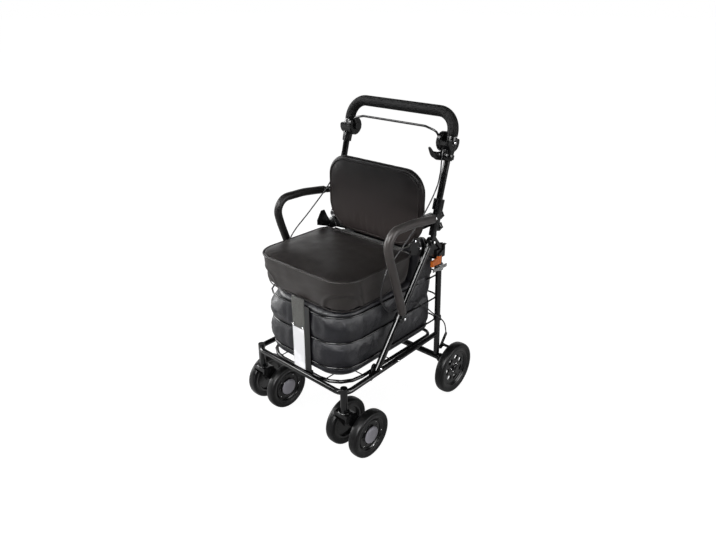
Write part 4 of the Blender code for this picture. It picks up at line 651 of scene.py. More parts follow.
def swell(piece, voxel, pressure, cap, is_pinned):
    # Remeshes a pad, blows it up as cloth with its seams held, and keeps each point within cap of
    # its start.
    remesh = piece.modifiers.new("remesh", "REMESH")
    remesh.mode = "VOXEL"
    remesh.voxel_size = voxel
    graph = bpy.context.evaluated_depsgraph_get()
    made = bpy.data.meshes.new_from_object(piece.evaluated_get(graph))
    piece.modifiers.clear()
    piece.data = made
    made.shade_smooth()
    start = [vertex.co.copy() for vertex in made.vertices]
    pins = piece.vertex_groups.new(name="pins")
    pins.add([i for i, point in enumerate(start) if is_pinned(point)], 1.0, "REPLACE")
    cloth = piece.modifiers.new("cloth", "CLOTH")
    for key, value in CLOTH_SETTINGS.items():
        setattr(cloth.settings, key, value)
    cloth.settings.uniform_pressure_force = pressure
    cloth.settings.effector_weights.gravity = 0
    cloth.collision_settings.use_collision = False
    scene = bpy.context.scene
    cloth.point_cache.frame_start = 1
    cloth.point_cache.frame_end = CLOTH_FRAMES
    for number in range(1, CLOTH_FRAMES + 1):
        scene.frame_set(number)
    graph = bpy.context.evaluated_depsgraph_get()
    blown = piece.evaluated_get(graph).to_mesh()
    ends = [vertex.co.copy() for vertex in blown.vertices]
    piece.evaluated_get(graph).to_mesh_clear()
    piece.modifiers.clear()
    piece.vertex_groups.clear()
    scene.frame_set(1)
    for vertex, first, last in zip(made.vertices, start, ends):
        step = last - first
        if step.length > cap:
            step *= cap / step.length
        vertex.co = first + step
    made.update()


def add_subdivision(piece):
    modifier = piece.modifiers.new("smooth", "SUBSURF")
    modifier.levels = 1
    modifier.render_levels = 1


# The CAD nodes that stay in view

ROUND_NODES = ("wire_basket", "backrest_frame", "brake_bar", "base_rail", "armrest_tube_left",
               "armrest_tube_right", "rear_axle")
SHARP_ANGLE, ROUND_SHARP_ANGLE = 38, 75
BRAKE_BAR_EXTRA = 0.0009


def dress_nodes():
    slots = {row["node"]: row["material_slot"] for row in frame["record"]["subparts"]}
    for name, node in NODES.items():
        mesh = node.data
        if mesh.has_custom_normals:
            mesh.attributes.remove(mesh.attributes["custom_normal"])
        mesh.materials.clear()
        mesh.materials.append(FINISHES[slots[name]].made)
        mesh.shade_smooth()
        weld = node.modifiers.new("weld", "WELD")
        weld.merge_threshold = 0.00001
        split = node.modifiers.new("split", "EDGE_SPLIT")
        split.split_angle = math.radians(ROUND_SHARP_ANGLE if name in ROUND_NODES else SHARP_ANGLE)
    # In the photograph the brake bar looks a little thicker than its solid.
    grow = NODES["brake_bar"].modifiers.new("grow", "DISPLACE")
    grow.strength = BRAKE_BAR_EXTRA
    grow.mid_level = 0.0


# Seat


def seat_ring(inset, z, count):
    outline = plan_outline(SEAT_HALF_X - inset, SEAT_FRONT_Y + inset, SEAT_BACK_Y - inset,
                           max(SEAT_CORNER - inset * 0.8, 0.012),
                           max(SEAT_BACK_CORNER - inset * 0.5, 0.010), count)
    return [Vector((p.x, p.y, z)) for p in outline]


def skirt_drop(place):
    # The cover's lower edge hangs further down at the front and along the right side.
    front = soft((0.02 - place.y) / 0.20) * soft((place.x + 0.19) / 0.12)
    return max(front, soft((place.x - 0.10) / 0.06) * soft((-0.02 - place.y) / 0.10))


def wrinkle_seat(place, normal):
    # How far the cover moves at a place: a little on top, more on the band round it.
    side = 1.0 - abs(normal.z)
    if place.z > SEAT_PIPING_Z - 0.002 or side < 0.3:
        top = max(normal.z, 0.0)
        return normal * (top * 0.0007 * noise.noise(place * 14.0) + top * 0.0004 * noise.noise(place * 34.0))
    outward = Vector((place.x, place.y - (SEAT_FRONT_Y + SEAT_BACK_Y) / 2, 0)).normalized()
    out = 0.0
    for hand in (-1, 1):
        away = place - Vector((ARC_X * hand, ARC_Y, ARC_Z))
        inside = ARC_RADIUS - Vector((away.x, away.y, away.z * ARC_FLATTENING)).length
        out += ARC_LIP * math.exp(-((inside + 0.004) / 0.0045) ** 2)
        out -= ARC_HOLLOW * soft(inside / 0.007) * (1.0 - soft((inside - 0.007) / 0.034))
        pleat = (place.y - PLEAT_Y + (place.z - 0.50) * 0.35) / PLEAT_WIDTH
        if place.x * hand > ARC_X:
            out -= PLEAT_DEPTH * math.exp(-pleat * pleat)
    height = (place.z - SEAT_BOTTOM_Z) / (SEAT_PIPING_Z - SEAT_BOTTOM_Z)
    out += 0.0020 * grain(place, 26, 26, 9) * math.sin(math.pi * min(max(height, 0.0), 1.0))
    out += 0.0009 * grain(place, 11, 11, 60) * side
    return outward * out - AXIS_Z * (HEM_DROP * skirt_drop(place) * soft(1.0 - height * 2.2))


def make_seat():
    # Each level is an inset and a rise above the base that it starts from.
    bottom = ((0.150, 0.0004), (0.060, 0.0002), (0.020, 0.0), (0.0150, 0.0020), (0.0125, 0.0070),
              (0.0105, 0.018), (0.0085, 0.032), (0.0068, 0.046), (0.0056, 0.058))
    edge = ((0.0050, -0.010), (0.0046, -0.004), (0.0042, 0.0), (0.0075, 0.0030), (0.0160, 0.0062),
            (0.030, 0.0088), (0.055, 0.0112), (0.085, 0.0124))
    crown = ((0.120, -0.0014), (0.150, -0.0012))
    rows = []
    for base, levels in ((SEAT_BOTTOM_Z, bottom), (SEAT_PIPING_Z, edge), (SEAT_CROWN_Z, crown)):
        rows += [seat_ring(inset, base + rise, 150) for inset, rise in levels]
    seat = add_shape("seat_pad", rows, "seat_leatherette", None)

    def held(point):
        return abs(point.z - SEAT_PIPING_Z) < 0.0026 or point.z < SEAT_BOTTOM_Z + 0.006

    swell(seat, voxel=0.005, pressure=3.0, cap=0.0045, is_pinned=held)
    move_points(seat, wrinkle_seat)
    add_subdivision(seat)
    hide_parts("seat_cushion")
    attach(seat, "seat_lid")

    # Piping along the top edge and a stitched hem at the bottom edge.
    piping = seat_ring(0.0034, SEAT_PIPING_Z, 170)
    tube("seat_piping", piping, 0.0026, "seat_leatherette", "seat_lid", 10, closed=True)
    hem = [point - Vector((0, 0, 0.0135 * skirt_drop(point)))
           for point in seat_ring(0.0150, SEAT_BOTTOM_Z + 0.0030, 150)]
    tube("seat_hem", hem, 0.0016, "seat_leatherette", "seat_lid", 8, closed=True)
    make_tray()


def make_tray():
    # The tray under the cushion. Each level is an inset from its side, and a height.
    low = RING_HEIGHTS[-1] + WIRE_RADIUS + CLOTH_GAP
    high = SEAT_BOTTOM_Z - 0.0009
    levels = ((0.06, low), (0.0045, low), (0.0015, low + 0.0012), (0.0002, low + 0.0040), (0.0, low + 0.012),
              (0.0, SEAT_BOTTOM_Z - 0.004), (0.0015, high), (0.05, high))
    rows = [seat_ring(TRAY_INSET + inset, z, 96) for inset, z in levels]
    tray = add_shape("seat_tray", rows, "bag_fabric", "seat_lid")
    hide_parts("seat_board")


def make_seat_hinge():
    # The cloth that joins the seat's rear edge to the cross bar.
    low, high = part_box("seat_flap")
    width = high.x - low.x
    start = Vector((0, low.y + 0.0006, high.z - 0.0012))
    end = Vector((0, high.y - 0.0004, low.z + 0.0012))
    steps, columns = 14, 60
    rows = []
    for index in range(steps + 1):
        share = index / steps
        point = start.lerp(end, share)
        sag = math.sin(math.pi * share)
        row = []
        for across in range(columns + 1):
            x = low.x + width * across / columns
            ripple = 0.0007 * sag * noise.noise(Vector((x * 30, share * 3, 1.0)))
            row.append(Vector((x, point.y, point.z + ripple - 0.0024 * sag)))
        rows.append(row)
    flap = add_shape("seat_hinge_cloth", rows, "strap_webbing", None, caps=(), closed=False)
    add_skin(flap, 0.0016)
    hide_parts("seat_flap")
    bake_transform(flap)


# Backrest


def back_ring(inset, out, count):
    outline = plan_outline(BACK_HALF_X - inset, BACK_LOW_Z + inset, BACK_HIGH_Z - inset,
                           max(BACK_LOW_CORNER - inset * 0.75, 0.012),
                           max(BACK_TOP_CORNER - inset * 0.75, 0.012), count)
    return [Vector((p.x, BACK_Y + out, p.y)) for p in outline]


def wrinkle_backrest(place, normal):
    # Gathers fan out above the lower edge, and the rest is nearly flat.
    facing = max(-normal.y, 0.0)
    if facing < 0.4:
        return normal * (0.0004 * noise.noise(place * 60.0))
    height = (place.z - BACK_LOW_Z - 0.014) / 0.075
    fade = math.exp(-((height - 0.35) / 0.42) ** 2) if height > 0 else 0.0
    fade *= max(0.0, 1.0 - (abs(place.x + 0.01) / 0.125) ** 2)
    gathers = noise.noise(Vector((place.x * 74.0, place.z * 8.0, 2.3)))
    return normal * (0.0030 * fade * gathers + 0.0006 * facing * grain(place, 11, 0, 13))


def make_backrest():
    # Each level is an inset and a distance behind the pad's middle plane. The welt is at the front.
    front, welt_inset = -0.0125, 0.0112
    levels = ((0.100, 0.0112), (0.050, 0.0112), (0.012, 0.0112), (0.0050, 0.0104), (0.0016, 0.0082),
              (0.0, 0.0040), (0.0, -0.0040), (0.0014, -0.0084), (0.0048, -0.0112), (0.0088, front),
              (welt_inset, front + 0.0008), (0.0140, front - 0.0006), (0.022, front - 0.0030),
              (0.036, front - 0.0058), (0.055, front - 0.0078), (0.080, front - 0.0088),
              (0.108, front - 0.0090))
    rows = [back_ring(inset, out, 130) for inset, out in levels]
    pad = add_shape("backrest_cover", rows, "back_leatherette", None)
    seam = [Vector((p.x, 0, p.z)) for p in back_ring(welt_inset, front, 200)]

    def held(point):
        if point.y > BACK_Y - 0.004:
            return True
        return min((Vector((point.x, 0, point.z)) - q).length_squared for q in seam) < 0.0028 ** 2

    swell(pad, voxel=0.0045, pressure=3.0, cap=0.0035, is_pinned=held)
    move_points(pad, wrinkle_backrest)
    add_subdivision(pad)
    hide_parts("backrest_pad")
    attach(pad, "fold")
    welt = back_ring(0.0100, front - 0.0002, 170)
    tube("backrest_piping", welt, 0.0023, "back_leatherette", "fold", 10, closed=True, up=AXIS_Y)


# Bag


def bag_outline(puff, count):
    half = RING_HALF_X - WIRE_RADIUS - CLOTH_GAP + puff
    front = RING_FRONT_Y + WIRE_RADIUS + CLOTH_GAP - puff
    back = BAG_BACK_Y + min(puff, 0.0)
    return plan_outline(half, front, back, RING_CORNER - 0.004 + min(puff, 0.0), BAG_BACK_CORNER, count)


def bag_puff(z):
    # How far the cloth stands out at a height: out between the rings, in behind each of them.
    edges = (BAG_FLOOR_Z,) + RING_HEIGHTS
    if z < RING_HEIGHTS[0]:
        share = (z - BAG_FLOOR_Z) / (RING_HEIGHTS[0] - BAG_FLOOR_Z)
        return -BAG_TUCK * (1.0 - share) ** 1.9 + 0.0050 * math.sin(math.pi * share) ** 0.8 - 0.0008 * share
    for low, high in zip(edges, edges[1:]):
        if z <= high:
            return BAG_PUFF * math.sin(math.pi * (z - low) / (high - low)) ** 0.62 - 0.0008
    share = (z - RING_HEIGHTS[-1]) / (BAG_TOP_Z - RING_HEIGHTS[-1])
    return 0.0045 * math.sin(math.pi * min(share * 1.25, 1.0)) - 0.0008 - 0.0160 * share ** 3


def strap_press(point):
    # 1 where the strap and the post hold the cloth in, at the front.
    if point.y > RING_FRONT_Y + 0.03:
        return 0.0
    return soft((point.x + 0.040) / 0.014) * soft((0.064 - point.x) / 0.014)


def left_tuck(point, z):
    # The cloth is drawn in at the top of the left front corner.
    return 0.017 * soft((-0.055 - point.x) / 0.06) * soft((-0.06 - point.y) / 0.10) * soft((z - 0.374) / 0.05)


def bag_row(share):
    z = BAG_FLOOR_Z + (BAG_TOP_Z - BAG_FLOOR_Z) * share
    puff = bag_puff(z)
    slack = min(max(puff + 0.001, 0.0) / 0.008, 1.0) * (1.0 if z < RING_HEIGHTS[-1] else 0.3)
    outline = bag_outline(puff, BAG_POINTS)
    row = []
    for number, point in enumerate(outline):
        along = (outline[(number + 1) % BAG_POINTS] - outline[number - 1]).normalized()
        outward = Vector((along.y, -along.x, 0))
        run = 2 * math.pi * number / BAG_POINTS
        turn = Vector((math.cos(run), math.sin(run), z))
        ridge = 1.0 - 2.6 * abs(noise.noise(Vector((turn.x * 7 + 3, turn.y * 7, z * 24))))
        out = slack * (0.0032 * grain(turn, 9, 9, 16) + 0.0011 * grain(turn, 30, 30, 34) + 0.0016 * ridge)
        out -= max(puff + out, 0.0) * 0.62 * strap_press(point) + left_tuck(point, z)
        rear = min(max((point.y - BAG_REAR_Y) / 0.073, 0.0), 1.0)
        crumple = noise.noise(Vector((point.x * 40, point.y * 60, z * 22)))
        out += rear * share * (0.0030 * crumple - 0.0035)
        rise = BAG_REAR_RISE * soft(rear) * share ** 2
        sag = 0.0012 * slack * grain(turn, 3, 3, 50)
        row.append(Vector((point.x, point.y, z + rise + sag)) + outward * out)
    return row


def make_bag():
    rows = [bag_row(index / BAG_LEVELS) for index in range(BAG_LEVELS + 1)]
    floor = []
    for inset in (0.115, 0.055):
        floor.append([Vector((p.x, p.y, BAG_FLOOR_Z + 0.0006 * noise.noise(p * 30)))
                      for p in bag_outline(-0.020 - inset, BAG_POINTS)])
    bag = add_shape("bag_cloth", floor + rows, "bag_fabric", "frame", caps=(0,))
    add_skin(bag, 0.0016, -1.0)
    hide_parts("bag")
    middle = Vector((0, (RING_FRONT_Y + BAG_BACK_Y) / 2, 0))
    hem = []
    for point in rows[-1][::2]:
        inward = (middle - Vector((point.x, point.y, 0))).normalized()
        hem.append(point + inward * 0.0026 - Vector((0, 0, 0.0014)))
    tube("bag_hem", hem, 0.0018, "bag_fabric", "frame", 8, closed=True)


def gusset_row(tops, side, share):
    row = []
    for point in tops:
        z = GUSSET_LOW_Z + (point.z - GUSSET_LOW_Z) * share
        folds = noise.noise(Vector((point.y * 42 + side, z * 20 + point.x * 20, 4.0)))
        ridge = 1.0 - 2.4 * abs(noise.noise(Vector((point.y * 30, z * 11 + point.y * 34, 9.0))))
        out = math.sin(math.pi * share) * (0.0026 * folds + 0.0028 * ridge)
        out -= 0.0135 * (1.0 - soft(share / 0.28))
        row.append(Vector((side * min(point.x + out, GUSSET_MAX_X), point.y - min(out, 0.0) * 0.2, z)))
    return row


def make_side_cloths():
    # Cloth gussets that rise from the bag's rear corners to the backrest's lower corners. Each is
    # a list of (x, y, top) stations, and the left one stays low behind the seat.
    stations = ((0.120, 0.028, 0.540), (0.146, 0.029, 0.556), (0.162, 0.033, 0.572), (0.170, 0.040, 0.582),
                (0.1745, 0.052, 0.586), (0.1745, 0.068, 0.580), (0.1745, 0.084, 0.566),
                (0.1745, 0.100, 0.549), (0.1745, 0.116, 0.532))
    for side, label in HANDS:
        cut = 0.0 if side > 0 else GUSSET_LEFT_CUT
        tops = resample([Vector((x, y, z - cut)) for x, y, z in stations], count=60)
        rows = [gusset_row(tops, side, step / 36) for step in range(37)]
        cloth = add_shape(f"side_cloth_{label}", rows, "bag_fabric", None, caps=(), closed=False)
        add_skin(cloth, 0.0014)
        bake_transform(cloth)
        crest = [point + Vector((side * 0.0004, 0, 0.0012)) for point in rows[-1]]
        binding = tube(f"side_binding_{label}", crest, 0.0026, "strap_webbing", None, 8)
        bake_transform(binding)


# Strap and the blank patch on it


def ribbon(name, width, points, thickness, finish, replaces):
    # A flat band down the front, through (y, z) points.
    path = resample(smooth_curve([Vector((0, y, z)) for y, z in points], 8), spacing=0.003)
    rows = []
    for point in path:
        row = []
        for step in range(13):
            share = step / 12 * 2 - 1
            cup = 0.0004 * (1 - share * share)
            row.append(Vector((STRAP_X + share * width / 2, point.y - cup, point.z)))
        rows.append(row)
    band = add_shape(name, rows, finish, "frame", caps=(), closed=False)
    add_skin(band, thickness)
    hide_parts(replaces)


def make_strap():
    low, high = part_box("front_strap")
    front = low.y + 0.0006
    points = [(front, high.z), (front - 0.0004, 0.430), (front + 0.0012, 0.390), (front, 0.350),
              (front + 0.0008, 0.310), (front, 0.270), (front, low.z)]
    ribbon("strap_band", high.x - low.x, points, 0.0013, "strap_webbing", "front_strap")
    low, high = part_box("label_patch")
    front = low.y - 0.0002
    points = [(front - 0.0004, high.z), (front, (low.z + high.z) / 2), (front - 0.0006, low.z)]
    ribbon("blank_patch", high.x - low.x, points, 0.0007, "label_film", "label_patch")
    for index, x in enumerate((-0.020, 0.020)):
        bolt(f"patch_rivet_{index}", (STRAP_X + x, front - 0.0006, high.z + 0.006), -AXIS_Y, 0.0032, "frame")


# Foam sleeves


def sleeve_radii(path, radius):
    # Rounds both ends of a foam sleeve.
    lengths = [0.0]
    for index in range(1, len(path)):
        lengths.append(lengths[-1] + (path[index] - path[index - 1]).length)
    total = lengths[-1]
    radii = []
    for at in lengths:
        near = min(at, total - at)
        share = min(near / SLEEVE_ROUND, 1.0)
        radii.append(radius - 0.0020 * (1 - math.sqrt(max(0.0, 1 - (1 - share) ** 2))))
    return radii


def add_end_points(path, spacing=0.0012, count=3):
    # Extra points near both ends, for their rounding.
    ahead = (path[1] - path[0]).normalized()
    back = (path[-2] - path[-1]).normalized()
    start = [path[0] + ahead * spacing * step for step in range(count)]
    end = [path[-1] + back * spacing * step for step in range(count)]
    return start + path[1:-1] + list(reversed(end))


def make_grip():
    top = HANDLE_TOP_Z
    corners = [(TUBE_X, lean_y(GRIP_END_Z), GRIP_END_Z), (TUBE_X, lean_y(top), top),
               (-TUBE_X, lean_y(top), top), (-TUBE_X, lean_y(GRIP_END_Z), GRIP_END_Z)]
    path = add_end_points(resample(fillet(corners, [HANDLE_CORNER, HANDLE_CORNER], 16), spacing=0.006))
    radii = sleeve_radii(path, GRIP_RADIUS)
    grip = tube("grip_sleeve", path, radii, "grip_foam", "push_handle", 24, up=AXIS_Y)
    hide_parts("handle_grip")


def arm_path():
    corners = [(0, ARM_PIVOT[0] + 0.008, ARM_PIVOT[1]), (0, -0.040, 0.665), (0, -0.160, 0.666),
               (0, -0.140, 0.590), (0, -0.108, 0.500), (0, strut_y(ARM_FOOT_Z) - 0.003, ARM_FOOT_Z - 0.008)]
    return resample(fillet(corners, [0.25, 0.042, 0.20, 0.25], 12), spacing=0.004)


def make_armrests():
    line = arm_path()
    total = sum((line[i + 1] - line[i]).length for i in range(len(line) - 1))
    inner_x = ARM_END_X - ARM_END_HALF + ARM_TUBE_RADIUS
    for side, label in HANDS:
        points = []
        run = 0.0
        for index, point in enumerate(line):
            if index:
                run += (point - line[index - 1]).length
            near = min(run, total - run)
            if run < ARM_BARE_TOP or total - run < ARM_BARE_FOOT:
                continue
            share = min(max((near - ARM_FLAT_LENGTH) / ARM_SPREAD_LENGTH, 0.0), 1.0)
            points.append(Vector((side * (inner_x + (ARM_X - inner_x) * share), point.y, point.z)))
        path = add_end_points(points)
        # Painted shade: the left sleeve gets a darker copy of the same foam, since it is seen from its shaded
        # inner side.
        finish = "armrest_foam" if side > 0 else "armrest_foam_left"
        foam = tube(f"arm_sleeve_{label}", path, sleeve_radii(path, ARM_FOAM_RADIUS), finish,
                    f"armrest_{label}", 20, up=AXIS_X)
        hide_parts(f"armrest_foam_{label}")


# Brake cables


def make_cables():
    # The same route as in the solids, in two lengths that meet above the armrest.
    drum_y = lean_y(DRUM_Z) - 0.002 - 0.0195
    band_x = LEG_X + LEG_RADIUS + CABLE_BAND_WALL + CABLE_RADIUS + CAD_GAP
    points = [(CABLE_HIGH_X - 0.007, drum_y, DRUM_Z - 0.0192),
              (CABLE_HIGH_X - 0.0065, drum_y - 0.0056, DRUM_Z - 0.0305),
              (CABLE_HIGH_X - 0.0055, drum_y - 0.0088, DRUM_Z - 0.042),
              (CABLE_HIGH_X - 0.0045, drum_y - 0.0112, DRUM_Z - 0.053),
              (CABLE_HIGH_X - 0.0025, lean_y(DRUM_Z - 0.081) - 0.0170, DRUM_Z - 0.081),
              (0.192, 0.094, 0.728), (0.1935, 0.040, 0.668), (0.194, -0.040, 0.606), (0.194, -0.110, 0.556),
              (0.194, -0.140, 0.510), (0.194, -0.143, 0.462), (0.194, -0.118, 0.424), (0.190, -0.088, 0.405),
              (0.1785, -0.040, 0.398), (0.1775, 0.020, 0.388), (0.1775, 0.080, 0.355), (0.184, 0.126, 0.312),
              (band_x, CABLE_BAND_Y, CABLE_BAND_Z), (band_x + 0.0010, 0.180, 0.255),
              (LEG_X + LEG_RADIUS + 0.0055, BRAKE_PIVOT_Y + 0.028, BRAKE_PIVOT_Z + 0.0435 + CAD_GAP)]
    per_span = 8
    split = 5 * per_span
    for side, label in HANDS:
        line = smooth_curve([Vector((side * x, y, z)) for x, y, z in points], per_span)
        upper = tube(f"cable_upper_{label}", line[:split + 1], 0.0021, "cable_jacket", None, 10, up=AXIS_X)
        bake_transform(upper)
        lower = tube(f"cable_lower_{label}", line[split:], 0.0021, "cable_jacket", None, 10, up=AXIS_X)
        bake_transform(lower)
        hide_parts(f"brake_cable_{label}")


# Wheels


def revolve(name, profile, centre, axis, finish, body, steps=80):
    # Turns a closed profile of (radius, distance along the axis) round the axis.
    axis = Vector(axis).normalized()
    side = axis.orthogonal().normalized()
    other = axis.cross(side)
    rows = [ellipse(Vector(centre) + axis * out, side, other, radius, radius, steps)
            for radius, out in profile]
    item = add_shape(name, rows, finish, body, wrap_rows=True)
    item.data.set_sharp_from_angle(angle=math.radians(42))
    return item


def tyre_section(radius, inner, width):
    # A round tread between two soft shoulders, with one fine groove on each sidewall.
    half = width / 2
    wall = radius * 0.90
    points = [(inner, -half * 0.80), (inner + 0.003, -half * 0.90), (wall - 0.0035, -half * 0.985),
              (wall - 0.0030, -half * 0.985 + 0.0006), (wall - 0.0020, -half * 0.985 + 0.0006),
              (wall - 0.0015, -half * 0.99)]
    for step in range(TREAD_STEPS + 1):
        lean = math.radians(-90 + 180 * step / TREAD_STEPS)
        round_out = math.copysign(abs(math.sin(lean)) ** 0.80, math.sin(lean))
        points.append((wall + (radius - wall) * abs(math.cos(lean)) ** 0.62, half * round_out))
    points += [(size, -out) for size, out in reversed(points[:6])]
    return points


def hub_section(radius, half, bore, face, rings):
    # A rim flange, a recessed disc with raised rings and a boss. The face is the disc's outer side.
    points = [(bore, -half * 0.9), (radius * 0.30, -half * 0.88), (radius * 0.33, -half * 0.30),
              (radius * 0.84, -half * 0.30), (radius * 0.89, -half * 0.98), (radius, -half), (radius, half),
              (radius * 0.975, half), (radius * 0.93, half * 0.96), (radius * 0.90, half * 0.74)]
    for at, rise in rings:
        points += [(radius * (at + 0.020), face), (radius * (at + 0.012), face + rise),
                   (radius * (at - 0.012), face + rise), (radius * (at - 0.020), face)]
    points += [(radius * 0.45, face), (radius * 0.43, face + 0.0014), (bore, face + 0.0014)]
    return points


def wheel_middle(node, height):
    # The middle of a node's box, at the height of the axle.
    low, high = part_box(node)
    middle = (low + high) / 2
    middle.z = height
    return middle


def studs(name, middle, out, ring, turn, size, height, body, finish="bright_steel"):
    # Five small heads in a ring round an axle.
    for index in range(5):
        angle = 2 * math.pi * index / 5 + turn
        place = middle + Vector((0, ring * math.cos(angle), ring * math.sin(angle)))
        bolt(f"{name}_{index}", place, out, size, body, height, finish)


def make_caster_wheels():
    rim = CASTER_RADIUS * 0.735
    disc = hub_section(rim, CASTER_WIDTH * 0.38, 0.0045, 0.0060, ((0.80, 0.0022), (0.56, 0.0010)))
    size = CAP_RADIUS
    dome = [(0.0004, 0.0), (size, 0.0), (size, 0.0022), (size * 0.965, 0.0036), (size * 0.90, 0.0041),
            (size * 0.885, 0.0037), (size * 0.86, 0.0037), (size * 0.845, 0.0042), (size * 0.70, 0.0053),
            (size * 0.45, 0.0062), (size * 0.22, 0.0066), (0.0004, 0.0067)]
    for side, label in HANDS:
        for hand, word in WHEEL_HANDS:
            name = f"{label}_{word}"
            body = f"caster_wheel_{name}"
            centre = wheel_middle(f"caster_tyre_{name}", CASTER_RADIUS)
            out = Vector((side * hand, 0, 0))
            tyre = revolve(f"tyre_{name}", tyre_section(CASTER_RADIUS, rim, CASTER_WIDTH), centre, out,
                           "tyre_rubber", body)
            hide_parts(f"caster_tyre_{name}")
            hub = revolve(f"hub_{name}", disc, centre, out, "black_plastic", body)
            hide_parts(f"caster_hub_{name}")
            low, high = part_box(f"caster_cap_{name}")
            base = low.x if side * hand > 0 else high.x
            cap = revolve(f"cap_{name}", dome, (base, centre.y, centre.z), out, "cap_plastic", body, 56)
            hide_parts(f"caster_cap_{name}")
            # Moulded blocks stand round the cap on the disc.
            studs(f"stud_{name}", centre + out * 0.0062, out, 0.0325, STUD_TURN, 0.0033, 0.0022, body,
                  "black_plastic")


def hub_windows(name, centre, radii, body):
    # The spoked disc of a rear wheel: a ring plate with rounded windows between its spokes.
    rings, per_window = 10, 12
    steps = SPOKES * per_window
    low, high = radii
    shape = bmesh.new()
    rows = []
    for ring in range(rings + 1):
        size = low + (high - low) * ring / rings
        rows.append([shape.verts.new(place) for place in ellipse(centre, AXIS_Y, AXIS_Z, size, size, steps)])
    for ring in range(rings):
        for step in range(steps):
            across = abs(((step + 0.5) / per_window) % 1.0 - 0.5) * 2
            along = abs((ring + 0.5) / rings * 2 - 1)
            if (across / WINDOW_WIDTH) ** 3 + (along / WINDOW_HEIGHT) ** 3 < 1.0:
                continue
            after = (step + 1) % steps
            inner, outer = rows[ring], rows[ring + 1]
            shape.faces.new((inner[step], inner[after], outer[after], outer[step]))
    loose = [vertex for vertex in shape.verts if not vertex.link_faces]
    bmesh.ops.delete(shape, geom=loose, context="VERTS")
    item = add_piece(name, shape, "black_plastic", body)
    add_skin(item, SPOKE_DEPTH)
    bevel_edges(item, 0.0009)


def make_rear_wheels():
    inner = REAR_RADIUS * 0.765
    half = REAR_WIDTH * 0.39
    rim = [(inner * 0.84, -half * 0.45), (inner * 0.90, -half * 0.98), (inner, -half), (inner, half),
           (inner * 0.97, half), (inner * 0.925, half * 0.95), (inner * 0.89, half * 0.70),
           (inner * 0.87, half * 0.55), (inner * 0.84, half * 0.50)]
    boss = [(0.0064, -half * 0.85), (0.0175, -half * 0.80), (0.0215, -half * 0.2), (0.0215, half * 0.45),
            (0.0195, half * 0.52), (0.0190, half * 0.36), (0.0120, half * 0.36), (0.0115, half * 0.86),
            (0.0095, half * 0.98), (0.0064, half * 0.98)]
    for side, label in HANDS:
        body = f"rear_wheel_{label}"
        out = Vector((side, 0, 0))
        centre = wheel_middle(f"rear_tyre_{label}", REAR_RADIUS)
        tyre = revolve(f"rear_tyre_round_{label}", tyre_section(REAR_RADIUS, inner, REAR_WIDTH), centre, out,
                       "tyre_rubber", body, 96)
        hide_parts(f"rear_tyre_{label}")
        rim_piece = revolve(f"rear_rim_{label}", rim, centre, out, "black_plastic", body, 96)
        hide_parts(f"rear_hub_{label}")
        hub_windows(f"rear_spokes_{label}", centre + out * 0.001, (0.0180, inner * 0.86), body)
        revolve(f"rear_boss_{label}", boss, centre, out, "black_plastic", body, 56)
        studs(f"rear_stud_{label}", centre + out * (half * 0.37), out, 0.0155, math.pi / 5,
              0.0024, 0.0016, body)


# Bolts, rivets and other small things


def make_hinge_covers():
    # The moulded bracket between the fold hinge and the block over the rear leg.
    outline = [(0.066, 0.548), (0.082, 0.533), (0.112, 0.530), (0.1580, 0.5300), (0.1580, 0.5440),
               (0.136, 0.549), (0.118, 0.556), (0.103, 0.566), (0.094, 0.575), (0.086, 0.577), (0.078, 0.573),
               (0.070, 0.562)]
    for side, label in HANDS:
        name = f"hinge_cover_{label}"
        rows = [[Vector((x, y, z)) for y, z in outline] for x in sorted((side * 0.1795, side * 0.1848))]
        cover = add_shape(name, rows, "black_plastic", "frame", smooth=False)
        bevel_edges(cover, 0.0016)


def make_hook():
    # A tapered wing that bends up from its clip round the sleeve, under the right brake drum.
    y, z = lean_y(HOOK_Z + 0.006), HOOK_Z + 0.006
    arm_x = TUBE_X - 0.019
    corners = [(TUBE_X - 0.013, y - 0.002, z + 0.002), (arm_x + 0.0005, y - 0.026, z + 0.004),
               (arm_x, y - 0.050, z + 0.014), (arm_x - 0.002, y - 0.064, z + 0.036)]
    path = resample(fillet(corners, [0.010, 0.020], 10), spacing=0.002)
    rows = []
    for index, point in enumerate(path):
        share = index / (len(path) - 1)
        ahead = (path[min(index + 1, len(path) - 1)] - path[max(index - 1, 0)]).normalized()
        top = AXIS_X.cross(ahead).normalized()
        tip = math.sqrt(min(1.0, (1.0 - share) / 0.05 + 0.04))
        tall = (0.0125 * (1 - share) ** 0.7 + 0.0020) * tip
        thick = (0.0060 - 0.0022 * share) * tip
        rows.append(ellipse(point, AXIS_X, top, thick, tall, 20))
    wing = add_shape("hook_wing", rows, "black_plastic", "push_handle")
    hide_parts("bag_hook")
    clip = [(0.0138, 0.0), (0.0150, -0.0012), (0.0172, -0.0008), (0.0178, 0.0006), (0.0178, 0.0114),
            (0.0172, 0.0128), (0.0150, 0.0132), (0.0138, 0.0120)]
    place = (TUBE_X, lean_y(HOOK_Z), HOOK_Z)
    revolve("hook_clip", clip, place, LEAN_AXIS, "black_plastic", "push_handle", 48)


def make_brake_shrouds():
    # A moulded sleeve tapers from each end of the grip to the tube, over the brake drum.
    profile = [(0.0124, 0.0), (0.0134, 0.0), (0.0140, 0.0012), (0.0150, 0.020), (0.0162, 0.040),
               (0.0162, 0.0650), (0.0156, 0.0672), (0.0124, 0.0672)]
    start = 0.8022
    for side, label in HANDS:
        place = (side * TUBE_X, lean_y(start), start)
        revolve(f"brake_shroud_{label}", profile, place, LEAN_AXIS, "black_plastic", "push_handle", 56)


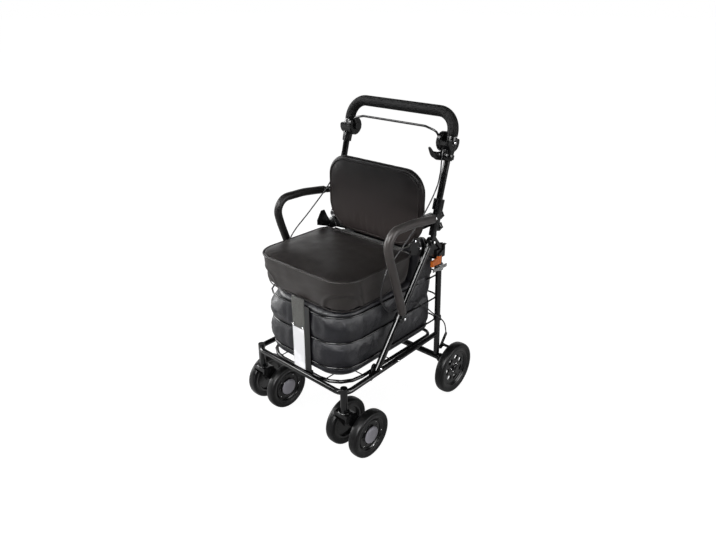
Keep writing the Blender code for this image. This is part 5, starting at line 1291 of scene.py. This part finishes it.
def make_side_wires():
    # Thin springs stand in the gap between the seat and the strut. Each is two (y, z) ends.
    lines = (((0.044, 0.578), (0.066, 0.534)), ((0.058, 0.586), (0.088, 0.530)))
    for side, label in HANDS:
        for index, ends in enumerate(lines):
            path = resample([Vector((side * 0.1790, y, z)) for y, z in ends], count=12)
            tube(f"side_wire_{label}_{index}", path, 0.0011, "grey_steel", "frame", 8, up=AXIS_X)


def make_fittings():
    # Each bolt is a name, a place on the right, a radius and the body that it rides with.
    head_x = ARM_END_X + ARM_END_HALF + 0.0022
    foot_y, foot_z = STRUT_FOOT[0] + 0.004, STRUT_FOOT[1] + 0.006
    for side, label in HANDS:
        out = Vector((side, 0, 0))
        armrest = f"armrest_{label}"
        bolts = ((f"arm_bolt_top_{label}", (head_x, *ARM_PIVOT), 0.0046, armrest),
                 (f"arm_bolt_low_{label}", (head_x, strut_y(ARM_FOOT_Z), ARM_FOOT_Z), 0.0046, armrest),
                 (f"gusset_bolt_{label}_0", (0.1895, 0.0098, 0.592), 0.0044, "frame"),
                 (f"gusset_bolt_{label}_1", (0.1895, 0.0345, 0.5625), 0.0044, "frame"),
                 (f"drum_bolt_{label}", (0.2118, lean_y(DRUM_Z) - 0.002, DRUM_Z), 0.0040, "push_handle"),
                 (f"fold_bolt_{label}", (0.2077, FOLD_Y, FOLD_Z), 0.0042, "fold"),
                 (f"strut_bolt_{label}", (0.2069, foot_y, foot_z), 0.0040, "frame"),
                 (f"rail_bolt_{label}", (0.1908, -0.052, 0.2230), 0.0036, "frame"))
        for name, (x, y, z), radius, body in bolts:
            bolt(name, (side * x, y, z), out, radius, body)
        for hand, word in WHEEL_HANDS:
            middle = wheel_middle(f"caster_cap_{label}_{word}", CASTER_RADIUS) - out * (hand * 0.0010)
            studs(f"rim_dot_{label}_{word}", middle, out * hand, 0.0415, math.pi / 5 + STUD_TURN,
                  0.0014, 0.0012, f"caster_wheel_{label}_{word}")


def main():
    add_camera()
    add_world()
    add_floor()
    add_lamps()
    dress_nodes()
    make_seat()
    make_seat_hinge()
    make_backrest()
    make_bag()
    make_side_cloths()
    make_strap()
    make_grip()
    make_armrests()
    make_cables()
    make_caster_wheels()
    make_rear_wheels()
    make_hinge_covers()
    make_hook()
    make_brake_shrouds()
    make_side_wires()
    make_fittings()
    bpy.context.scene.view_settings.view_transform = "Standard"


FINISHES = make_finishes()
main()
